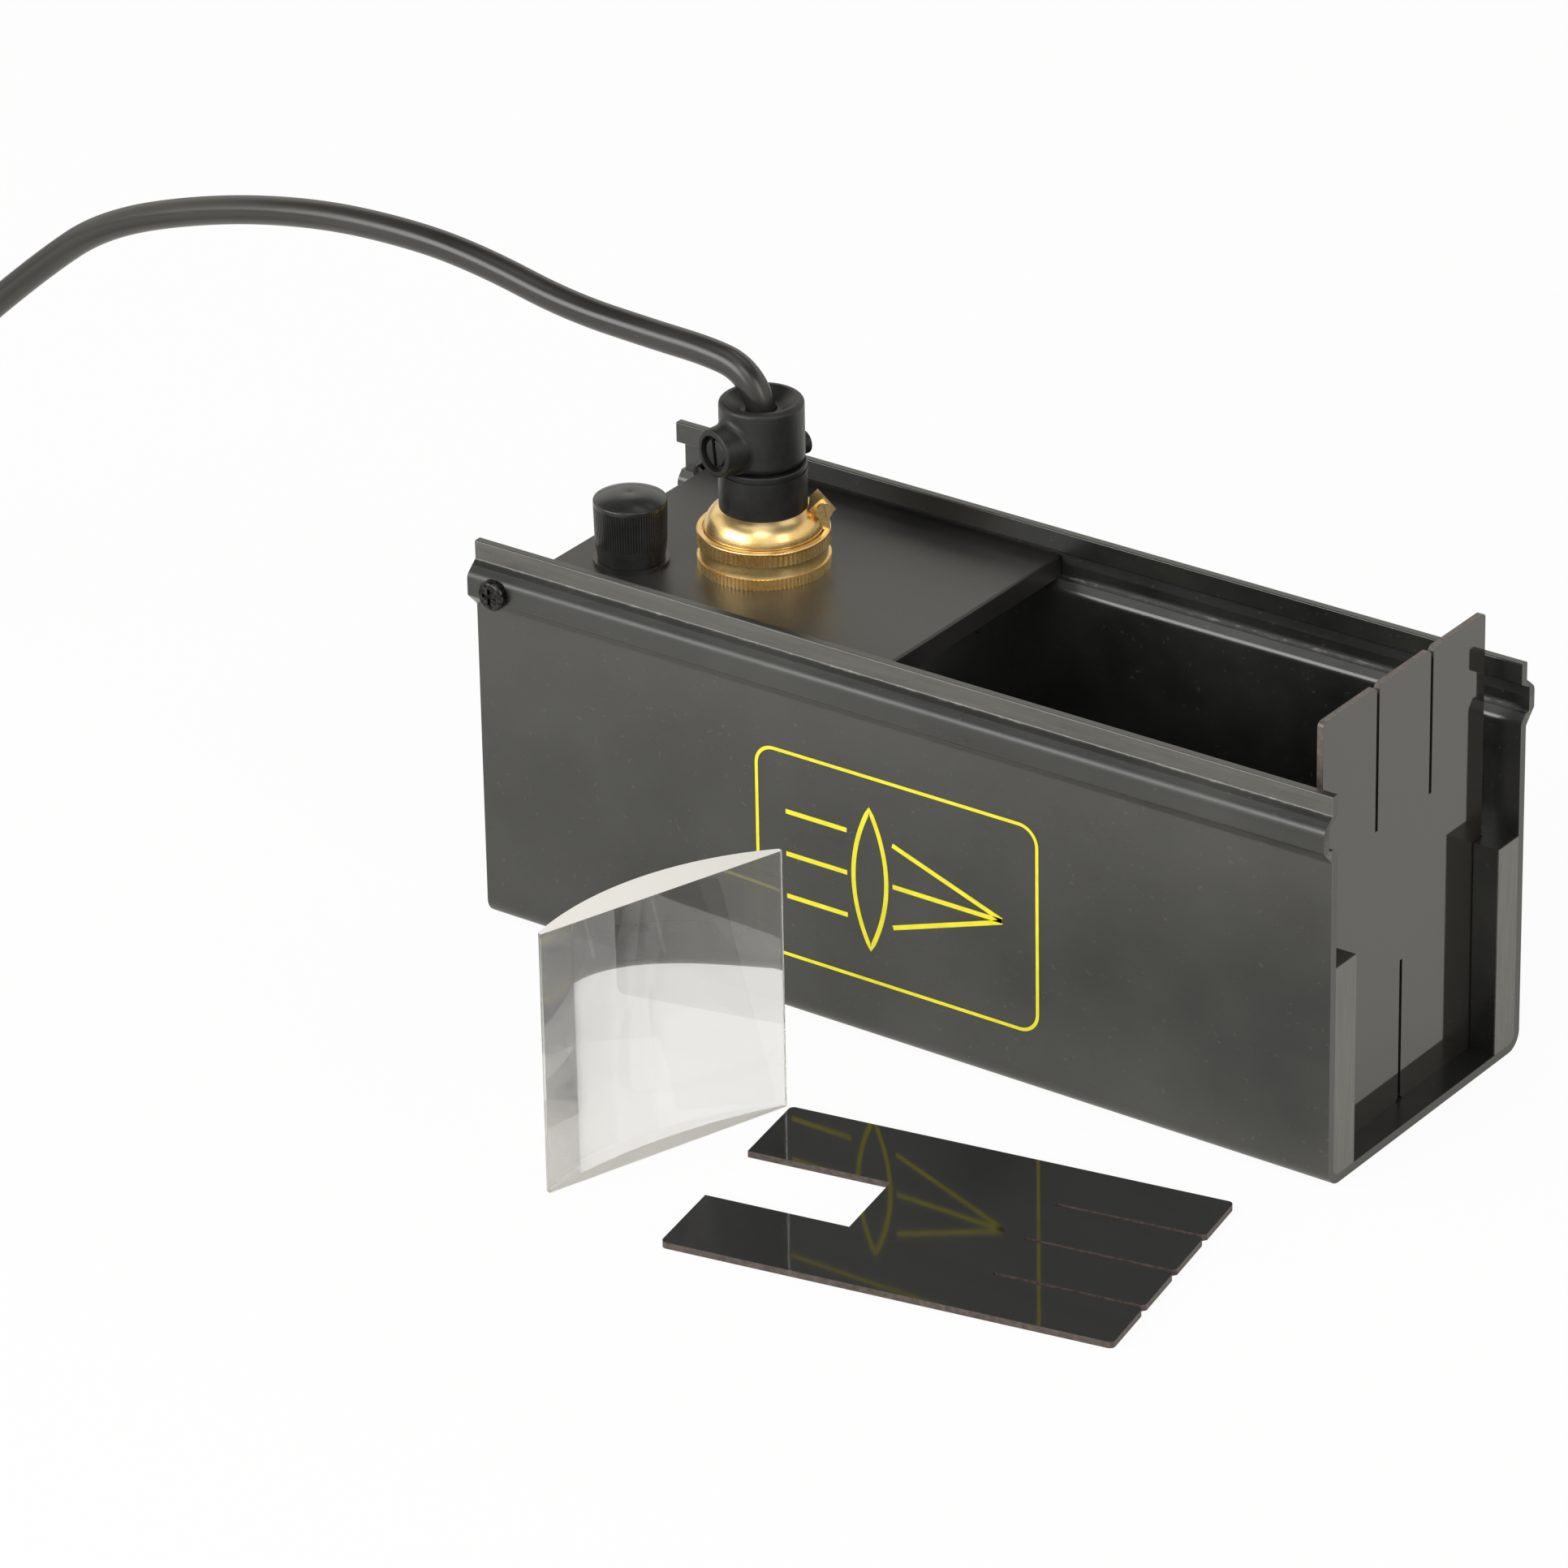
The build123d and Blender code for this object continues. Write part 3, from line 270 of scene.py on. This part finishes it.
lead_line = bpy.data.curves.new("lead", "CURVE")
lead_line.dimensions = "3D"
spline = lead_line.splines.new("NURBS")
spline.points.add(len(lead_route) - 1)
for point, place in zip(spline.points, lead_route):
    point.co = (*place, 1.0)
    point.radius = LEAD_DIAMETER / 2
spline.order_u = 3
spline.use_endpoint_u = True
spline.resolution_u = 12
lead_line.bevel_depth = 1.0
lead_line.bevel_resolution = 8
lead_line.use_fill_caps = True

sheath = finish_of("cord_sheath", Roughness=0.38, IOR=1.52, Specular_IOR_Level=0.6)
place = place_on(sheath)
patches = noise(place, 45.0, 2.0)
feed(sheath, Base_Color=ramp(patches, (0.3, (0.020, 0.0185, 0.0165)), (0.75, (0.029, 0.027, 0.0245))))
feed(sheath, Roughness=ramp(patches, (0.3, 0.27), (0.7, 0.32)))
feed(sheath, Normal=bump(noise(place, 500.0, 1.0), 0.000004))
lead = new_object("lead", lead_line, "lamp_carriage")
dress(sheath, lead)
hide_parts("lead_cord", "lead_coil")


# The plug: a moulded black rubber body with two round plated pins. Its flexible relief is moulded on
# with it.
rubber = finish_of("plug_rubber", Roughness=0.5, IOR=1.5)
place = place_on(rubber)
feed(rubber, Base_Color=ramp(noise(place, 120.0), (0.3, (0.014, 0.014, 0.014)), (0.8, (0.024, 0.024, 0.023))))
feed(rubber, Normal=bump(noise(place, 2200.0, 3.0), 0.00005))
dress(rubber, "plug_body", "plug_strain_relief")
steel = finish_of("plated_steel", Base_Color=(0.60, 0.60, 0.59, 1.0), Metallic=1.0)
place = place_on(steel)
feed(steel, Roughness=noise(place, 400.0, 3.0) * 0.2 + 0.18)
feed(steel, Normal=bump(noise(place, 2500.0), 0.00002))
dress(steel, "plug_pin_near", "plug_pin_far")


# The housing: a black plastic channel, extruded in one length and sawn off square at both ends. Each
# side wall steps out into a rail near its top. Die lines run along it, and the walls have fine dust.
def extruded_black(name):
    """Satin black plastic as it comes out of a die: streaks along X, faint specks and scuffs."""
    plastic = finish_of(name, IOR=1.5, Specular_IOR_Level=0.85)
    place = place_on(plastic)
    streaks = noise(stretched(place, 3.0, 260.0, 260.0), 1.0)
    clouds = noise(place, 22.0, 4.0, 0.62)
    specks = noise(place, 900.0, 1.0)
    dust = ramp(specks, (0.70, 0.0), (0.78, 1.0))
    shade = ramp(clouds, (0.32, (0.0085, 0.0086, 0.0078)), (0.68, (0.0270, 0.0270, 0.0236)))
    feed(plastic, Base_Color=mix(dust * 0.10, shade, (0.30, 0.29, 0.26, 1.0)))
    feed(plastic, Roughness=streaks * 0.08 + clouds * 0.16 + 0.18)
    feed(plastic, Normal=bump(specks, 0.000004))
    return plastic


def soften(node, width):
    """Rounds a CAD node's sharp edges by a hair, as moulding or sawing leaves them."""
    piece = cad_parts[node]
    weld = piece.modifiers.new("weld", "WELD")
    weld.merge_threshold = 0.000004
    bevel = piece.modifiers.new("edges", "BEVEL")
    bevel.width = width
    bevel.segments = 2
    bevel.limit_method = "ANGLE"
    bevel.angle_limit = math.radians(30.0)
    bevel.harden_normals = True
    bevel.use_clamp_overlap = True


def near(value, middle, reach):
    """1 where the value is within reach of a middle, and 0 elsewhere."""
    return abs(value - middle).below(reach)


def between(value, low, high):
    """1 where the value is between the two, and 0 elsewhere."""
    return value.above(low) * value.below(high)


# Heights on the housing, and distances out from its middle plane.
BLOOM_START_Z = 0.045  # the walls are painted paler from here up to the rail
BLOOM_PER_METRE = 3.3
WALL_TOP_Z = 0.0750
SLOPE_TOP_Z = 0.0779
SLOPE_LINE_LOW_Z = 0.0753
SLOPE_LINE_HIGH_Z = 0.0770
LEDGE_Z = 0.07815
NOSE_LOW_Z = 0.0812
NOSE_HIGH_Z = 0.0848
ARRIS_Z = 0.08575
LIP_Z = 0.08585
WALL_OUT = 0.0365
LIP_OUT = 0.0368
SLOPE_OUT = 0.0372
NOSE_OUT = 0.0375
LEDGE_OUT = 0.0380

housing_black = extruded_black("housing_black")
place = place_on(housing_black)
z = along(place, "Z")
across = along(place, "Y")
outward = abs(across)
drag = noise(stretched(place, 60.0, 900.0, 900.0), 1.0, 3.0, 0.6)
burrs = ramp(noise(stretched(place, 350.0, 900.0, 900.0), 1.0, 3.0, 0.7), (0.50, 0.15), (0.66, 1.0))
# Painted highlights and painted reflection, pale: the rail's arris, the ledge under it, its near upper lip
# and the slope below with its two lines. The upper walls are also painted paler towards the rail.
arris = near(z, ARRIS_Z, 0.00022) * outward.above(LIP_OUT) * burrs
ledge_line = near(z, LEDGE_Z, 0.0003) * near(outward, LEDGE_OUT, 0.0006) * burrs
slope_line = near(z, SLOPE_LINE_LOW_Z, 0.00028) + near(z, SLOPE_LINE_HIGH_Z, 0.0002)
slope = between(z, WALL_TOP_Z, SLOPE_TOP_Z) * outward.above(SLOPE_OUT)
lip = z.above(LIP_Z) * across.below(-LIP_OUT) * (drag * 0.4 + 0.08)
height_up = (z - BLOOM_START_Z).at_least(0.0)
bloom = height_up * z.below(WALL_TOP_Z) * outward.above(WALL_OUT) * BLOOM_PER_METRE
lines = arris * 0.6 + ledge_line * 0.9 + lip + slope * (slope_line * drag * 0.6 + 0.16) + bloom
# The painted highlights, painted reflection and paler upper walls go into the base colour.
painted_highlights_paler_top = mix(lines.at_most(1.0), fed(housing_black, "Base Color"), (0.20, 0.195, 0.175, 1.0))
feed(housing_black, Base_Color=painted_highlights_paler_top)
nose = between(z, NOSE_LOW_Z, NOSE_HIGH_Z) * outward.above(NOSE_OUT)
feed(housing_black, Roughness=fed(housing_black, "Roughness") + nose * (drag * 0.16 + 0.06))
dress(housing_black, "channel_housing")


# The printed sign on the near wall: a rounded frame in yellow screen ink, with a plain picture of what
# the box is for inside it, three rays that a lens brings together.
INK_LIFT = 0.00005
FRAME_LINE = 0.0008
PICTURE_LINE = 0.0011
CORNER_STEPS = 10
BOW_STEPS = 24
WALL_FACE_Y = -0.0371
ink_mesh = bmesh.new()


def ink_stroke(points, width, closed=False):
    """A flat line of ink through points (x, z) on the near wall."""
    count = len(points)
    left = []
    right = []
    for i, (x, z) in enumerate(points):
        before = points[i - 1] if closed or i else points[i]
        after = points[(i + 1) % count] if closed or i < count - 1 else points[i]
        run = Vector((after[0] - before[0], after[1] - before[1])).normalized() * width / 2
        left.append(ink_mesh.verts.new((x - run.y, WALL_FACE_Y - INK_LIFT, z + run.x)))
        right.append(ink_mesh.verts.new((x + run.y, WALL_FACE_Y - INK_LIFT, z - run.x)))
    for i in range(count if closed else count - 1):
        j = (i + 1) % count
        ink_mesh.faces.new((left[i], right[i], right[j], left[j]))


def rounded_frame(x0, x1, z0, z1, corner):
    """The points (x, z) of a frame with round corners, from its upper right one anticlockwise."""
    points = []
    near_x, far_x = x0 + corner, x1 - corner
    low_z, high_z = z0 + corner, z1 - corner
    middles = [(far_x, high_z), (near_x, high_z), (near_x, low_z), (far_x, low_z)]
    for quarter, (x, z) in enumerate(middles):
        for i in range(CORNER_STEPS + 1):
            angle = math.pi / 2 * (quarter + i / CORNER_STEPS)
            points.append((x + corner * math.cos(angle), z + corner * math.sin(angle)))
    return points


ink_stroke(rounded_frame(-0.0349, 0.0363, 0.0144, 0.0623, 0.0045), FRAME_LINE, closed=True)
lens_x, lens_z, lens_half, lens_bulge = -0.006, 0.03835, 0.0165, 0.0042
bow = []
for side in (1, -1):
    for i in range(BOW_STEPS):
        t = (i / BOW_STEPS * 2 - 1) * side
        bow.append((lens_x + side * lens_bulge * (1 - t * t), lens_z + t * lens_half))
ink_stroke(bow, PICTURE_LINE, closed=True)
ray_start, ray_gap, focus = -0.0275, 0.0058, 0.0275
for drop in (-0.010, 0.0, 0.010):
    ink_stroke([(ray_start, lens_z + drop), (lens_x - ray_gap, lens_z + drop)], PICTURE_LINE)
    ink_stroke([(lens_x + ray_gap, lens_z + drop * 0.97), (focus, lens_z + drop * 0.02)], PICTURE_LINE)
sign_data = bpy.data.meshes.new("sign_print")
ink_mesh.to_mesh(sign_data)
ink_mesh.free()
sign = new_object("sign_print", sign_data, "housing")
ink = finish_of("yellow_ink", Roughness=0.42)
place = place_on(ink)
feed(ink, Base_Color=ramp(noise(place, 300.0, 3.0), (0.3, (0.76, 0.68, 0.012)), (0.7, (0.86, 0.78, 0.018))))
feed(ink, Normal=bump(noise(place, 3000.0), 0.00002))
dress(ink, sign)


# The slot guides: black plastic strips with a slot moulded in, cemented to the walls. The two at the
# open end hold the slit plate and are sawn off pale there. The two further in hold the lens.
SAWN_END = 0.0003  # what lies this near the open end is sawn
guide_black = extruded_black("guide_black")
place = place_on(guide_black)
open_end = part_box("front_guide_near")[1][0]
saw_marks = noise(stretched(place, 1.0, 2600.0, 60.0), 1.0, 3.0, 0.6)
sawn = along(place, "X").above(open_end - SAWN_END) * saw_marks * 0.8
feed(guide_black, Base_Color=mix(sawn, fed(guide_black, "Base Color"), (0.20, 0.195, 0.18, 1.0)))
guides = ("front_guide_near", "front_guide_far", "lens_guide_near", "lens_guide_far")
dress(guide_black, *guides)
for name in guides:
    soften(name, 0.0002)


# The slit plates: polished black acrylic sheet, sawn and routed to shape. The faces are like a mirror,
# and the cut edges are brownish and dull.
SAWN_SKIN = 0.00004  # what lies deeper than this below both faces is sawn


def black_acrylic(name, depth_axis, node, shine, tone):
    """Polished sheet whose thickness lies along an axis, with dull sawn edges."""
    sheet = finish_of(name, IOR=1.5, Specular_IOR_Level=shine)
    place = place_on(sheet)
    depth = along(place, depth_axis)
    low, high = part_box(node)
    face = "XYZ".index(depth_axis)
    cut = between(depth, low[face] + SAWN_SKIN, high[face] - SAWN_SKIN)
    smear = noise(place, 60.0, 4.0, 0.6)
    saw = noise(stretched(place, 900.0, 900.0, 900.0), 1.0, 2.0)
    edge = ramp(saw, (0.3, (0.050, 0.036, 0.031)), (0.7, (0.11, 0.085, 0.075)))
    feed(sheet, Base_Color=mix(cut, tone, edge))
    feed(sheet, Roughness=cut * 0.38 + smear * 0.06 + 0.02)
    feed(sheet, Normal=bump(saw * cut, 0.00005))
    return sheet


# The front plate is painted a paler, warmer grey than the spare plate of the same acrylic: a painted sheen.
front_tone_painted_sheen = (0.024, 0.0215, 0.0185, 1.0)
front_acrylic = black_acrylic("front_plate_acrylic", "X", "front_slit_plate", 0.95, front_tone_painted_sheen)
place = place_on(front_acrylic)
low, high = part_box("front_slit_plate")
x = along(place, "X")
z = along(place, "Z")
# Little light gets into the narrow slits, so their walls are black. The margins leave out the sheet's
# outer edges, which stay brownish.
OFF_EDGE = 0.002
OFF_FOOT = 0.001
between_faces = between(x, low[0] + SAWN_SKIN, high[0] - SAWN_SKIN)
off_sides = abs(along(place, "Y")).below(high[1] - OFF_EDGE)
off_ends = between(z, low[2] + OFF_FOOT, high[2] - OFF_EDGE)
in_slit = between_faces * off_sides * off_ends
slit_black = (0.008, 0.008, 0.008, 1.0)
feed(front_acrylic, Base_Color=mix(in_slit, fed(front_acrylic, "Base Color"), slit_black))
dress(front_acrylic, "front_slit_plate")
spare_acrylic = black_acrylic("spare_plate_acrylic", "Z", "spare_slit_plate", 0.42, slit_black)
dress(spare_acrylic, "spare_slit_plate")
for name in ("front_slit_plate", "spare_slit_plate"):
    soften(name, 0.00015)


# The lens: a plano-convex cylinder of clear cast acrylic, standing on its end. Its faces are polished
# and its two ends are sawn and frosted.
lens_tone = (0.87, 0.86, 0.83, 1.0)
BENT_SHARE = 0.86  # of each ray; the rest goes straight through, or trapped rays turn the edges black
clear = finish_of("clear_acrylic", Base_Color=lens_tone, Transmission_Weight=1.0, IOR=1.49, Alpha=BENT_SHARE)
place = place_on(clear)
feed(clear, Roughness=ramp(noise(place, 40.0, 3.0), (0.45, 0.0), (0.8, 0.03)))
tree = clear.node_tree
low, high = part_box("cylindrical_lens")
z = along(place, "Z")
FROST_SKIN = 0.00005
sawn = z.above(high[2] - FROST_SKIN) + z.below(low[2] + FROST_SKIN)
frost = add(tree, "ShaderNodeBsdfPrincipled", None, {"Base Color": (0.88, 0.86, 0.82, 1.0), "Roughness": 0.5})
polished = Socket(tree.nodes["Principled BSDF"].outputs[0])
ends = add(tree, "ShaderNodeMixShader", None, {0: sawn, 1: polished, 2: frost})
tree.links.new(ends.output, tree.nodes["Material Output"].inputs["Surface"])
dress(clear, "cylindrical_lens")


# The lamp platform: a shallow tray pressed from black plastic sheet, whose rim runs in the grooves of
# the rails. Its top has a fine satin grain.
tray = finish_of("platform_black", IOR=1.5, Specular_IOR_Level=0.7)
place = place_on(tray)
grain = noise(place, 2600.0, 2.0)
clouds = noise(place, 30.0, 3.0, 0.6)
tray_shade = clouds * 0.6 + grain * 0.4
feed(tray, Base_Color=ramp(tray_shade, (0.35, (0.014, 0.0138, 0.0128)), (0.65, (0.033, 0.032, 0.0295))))
feed(tray, Roughness=clouds * 0.12 + 0.32)
feed(tray, Normal=bump(grain, 0.00003))
dress(tray, "lamp_platform")


# The lampholder: a brass bayonet barrel through the platform, two knurled shade rings that clamp it
# there, and a spun dome. All are polished and lacquered, with turning marks round the axis.
def turned_brass(name, around, roughness):
    """Lacquered brass with fine marks of the lathe round an upright axis through a place."""
    metal = finish_of(name, Metallic=0.9)
    place = place_on(metal)
    tree = metal.node_tree
    from_axis = add(tree, "ShaderNodeVectorMath", {"operation": "SUBTRACT"}, {0: place, 1: around})
    reach = add(tree, "ShaderNodeVectorMath", {"operation": "LENGTH"}, {0: stretched(from_axis, 1, 1, 0)}, 1)
    rings = (along(place, "Z") + reach) * 5200.0
    values = {"W": rings, "Scale": 1.0, "Detail": 2.0}
    turning = add(tree, "ShaderNodeTexNoise", {"noise_dimensions": "1D"}, values)
    clouds = noise(place, 160.0, 3.0, 0.6)
    feed(metal, Base_Color=ramp(clouds, (0.30, (0.80, 0.52, 0.19)), (0.72, (0.96, 0.73, 0.36))))
    feed(metal, Roughness=turning * 0.08 + clouds * 0.08 + roughness)
    feed(metal, Normal=bump(turning, 0.000008))
    return metal


holder_axis = (-0.059, 0.0, 0.0)
brass = turned_brass("lacquered_brass", holder_axis, 0.20)
dress(brass, "lampholder_barrel", "shade_ring_lower", "shade_ring_upper", "lampholder_dome", "earth_terminal")


# The earth terminal's screw and the two terminal screws are brass as well, turned and slotted.
earth_axis = (-0.0469, 0.0044, 0.0)
small_brass = turned_brass("screw_brass", earth_axis, 0.18)
dress(small_brass, "earth_screw", "terminal_screw_near", "terminal_screw_far")


# The cord grip: a collar and a body in black phenolic moulding. The body has a side boss with a slotted
# screw that pinches the lead. The core inside the barrel is the same moulding.
phenolic = finish_of("phenolic_black", IOR=1.5, Specular_IOR_Level=0.4)
place = place_on(phenolic)
clouds = noise(place, 240.0, 4.0, 0.6)
feed(phenolic, Base_Color=ramp(clouds, (0.3, (0.010, 0.010, 0.010)), (0.7, (0.019, 0.019, 0.018))))
feed(phenolic, Roughness=clouds * 0.15 + 0.33)
feed(phenolic, Normal=bump(noise(place, 1800.0, 3.0), 0.00003))
dress(phenolic, "cord_grip_collar", "cord_grip_body", "cord_grip_screw", "insulator_core")


# The contacts: two sprung plungers of turned brass in the core. They press on two blobs of solder at
# the end of the lamp's cap.
dress(turned_brass("plunger_brass", holder_axis, 0.2), "contact_plunger_near", "contact_plunger_far")
solder = finish_of("solder", Base_Color=(0.55, 0.55, 0.56, 1.0), Metallic=1.0, Roughness=0.35)
place = place_on(solder)
feed(solder, Normal=bump(noise(place, 900.0), 0.0001))
dress(solder, "lamp_contact_near", "lamp_contact_far")


# The lamp: a clear glass globe with a coiled tungsten filament, cemented into a brass bayonet cap.
dress(turned_brass("cap_brass", holder_axis, 0.22), "lamp_cap")
glass = finish_of("lamp_glass", Base_Color=(0.98, 0.99, 0.985, 1.0), Transmission_Weight=1.0, IOR=1.46)
place = place_on(glass)
feed(glass, Roughness=ramp(noise(place, 60.0), (0.5, 0.0), (0.9, 0.02)))
dress(glass, "lamp_glass")
tungsten = finish_of("tungsten", Base_Color=(0.34, 0.33, 0.32, 1.0), Metallic=1.0, Roughness=0.4)
place = place_on(tungsten)
feed(tungsten, Normal=bump(noise(place, 3000.0), 0.00005))
dress(tungsten, "lamp_filament")


# The clamp knob: moulded black plastic with fine flutes and a domed top, on a steel stud. It draws the
# nut up under the platform. A washer of the same plastic lies under it.
knob_black = finish_of("knob_black", IOR=1.5, Specular_IOR_Level=0.5)
place = place_on(knob_black)
clouds = noise(place, 200.0, 3.0)
feed(knob_black, Base_Color=ramp(clouds, (0.3, (0.018, 0.018, 0.018)), (0.7, (0.028, 0.028, 0.028))))
feed(knob_black, Roughness=clouds * 0.1 + 0.2)
feed(knob_black, Normal=bump(noise(place, 1500.0), 0.00002))
dress(knob_black, "clamp_knob", "knob_washer")
dress(steel, "knob_stud", "stud_nut")


# The stop screws: black-plated pan heads, one through each rail, that keep the carriage from coming out
# at the rear. The plating has worn thin in small patches.
screw_black = finish_of("screw_black", Metallic=1.0)
place = place_on(screw_black)
worn = noise(place, 1500.0, 3.0)
feed(screw_black, Base_Color=ramp(worn, (0.35, (0.015, 0.015, 0.0145)), (0.75, (0.085, 0.082, 0.08))))
feed(screw_black, Roughness=worn * 0.2 + 0.22)
dress(screw_black, "stop_screw_near", "stop_screw_far")


# The room: a white table top, a white background, a bright band of room above the horizon and a dark
# ceiling, with soft boxes low at the left, in front, at the right and over the table.
TABLE_Z = -0.0003  # a hair below the feet, so that no face lies in its plane
table = bpy.data.meshes.new("table_top")
shape = bmesh.new()
bmesh.ops.create_grid(shape, x_segments=1, y_segments=1, size=8.0)
bmesh.ops.translate(shape, verts=shape.verts, vec=(0, 0, TABLE_Z))
shape.to_mesh(table)
shape.free()
floor = bpy.data.objects.new("table_top", table)
bpy.context.scene.collection.objects.link(floor)
floor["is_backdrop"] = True
white = bpy.data.materials.new("white_table")
white.use_nodes = True
tree = white.node_tree
tree.nodes.clear()
path = tree.nodes.new("ShaderNodeLightPath")
through = Socket(path.outputs["Is Transmission Ray"])
seen = Socket(path.outputs["Is Camera Ray"]) * 0.94 + through * 0.9
glossy = Socket(path.outputs["Is Glossy Ray"]) * (1.0 - through)
lit = add(tree, "ShaderNodeBsdfDiffuse", None, {"Color": (0.9, 0.9, 0.89, 1.0)})
warm = (1.0, 0.98, 0.89, 1.0)
tint = mix(glossy, (1.0, 1.0, 1.0, 1.0), warm)
plain = add(tree, "ShaderNodeEmission", None, {"Color": tint, "Strength": 1.0})
both = add(tree, "ShaderNodeMixShader", None, {0: (seen + glossy * 0.5).at_most(1.0), 1: lit, 2: plain})
output = tree.nodes.new("ShaderNodeOutputMaterial")
tree.links.new(both.output, output.inputs["Surface"])
dress(white, floor)

world = bpy.data.worlds.new("room")
bpy.context.scene.world = world
world.use_nodes = True
tree = world.node_tree
tree.nodes.clear()
heading = add(tree, "ShaderNodeTexCoord", out=0)
height = along(heading, "Z")
band = (1.0, 0.98, 0.89)
ceiling = (0.05, 0.049, 0.047)
glow = ramp(height, (0.0, 0.1), (0.10, 0.3), (0.15, band), (0.56, band), (0.66, ceiling), (1.0, ceiling))
path = tree.nodes.new("ShaderNodeLightPath")
shown = Socket(path.outputs["Is Camera Ray"]) + Socket(path.outputs["Is Transmission Ray"])
colour = mix(shown.at_most(1.0), glow, (1.0, 1.0, 1.0, 1.0))
background = tree.nodes.new("ShaderNodeBackground")
tree.links.new(colour.output, background.inputs["Color"])
output = tree.nodes.new("ShaderNodeOutputWorld")
tree.links.new(background.outputs[0], output.inputs["Surface"])


BOX_MIDDLE = Vector((0, 0, 0.05))


def soft_box(name, place, size, power):
    """A rectangular lamp that faces the middle of the box and that the camera doesn't see."""
    data = bpy.data.lights.new(name, "AREA")
    data.shape = "RECTANGLE"
    data.size, data.size_y = size
    data.energy = power
    lamp = bpy.data.objects.new(name, data)
    bpy.context.scene.collection.objects.link(lamp)
    lamp.location = place
    lamp.rotation_mode = "QUATERNION"
    lamp.rotation_quaternion = (BOX_MIDDLE - Vector(place)).to_track_quat("-Z", "Y")
    lamp.visible_camera = False


soft_box("low_left_box", (-1.55, -2.25, 1.25), (1.4, 1.3), 28.0)
soft_box("near_left_box", (-0.3, -2.0, 1.0), (0.8, 1.2), 14.0)
soft_box("right_box", (2.2, -0.6, 1.3), (0.8, 1.2), 8.0)
soft_box("front_box", (0.9, -1.6, 2.2), (1.2, 0.8), 11.0)
soft_box("over_box", (-0.1, -0.5, 2.2), (1.6, 1.2), 5.5)
soft_box("top_box", (0.2, 0.9, 2.0), (1.4, 0.8), 4.0)

scene = bpy.context.scene
scene.view_settings.view_transform = "Standard"

low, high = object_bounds()
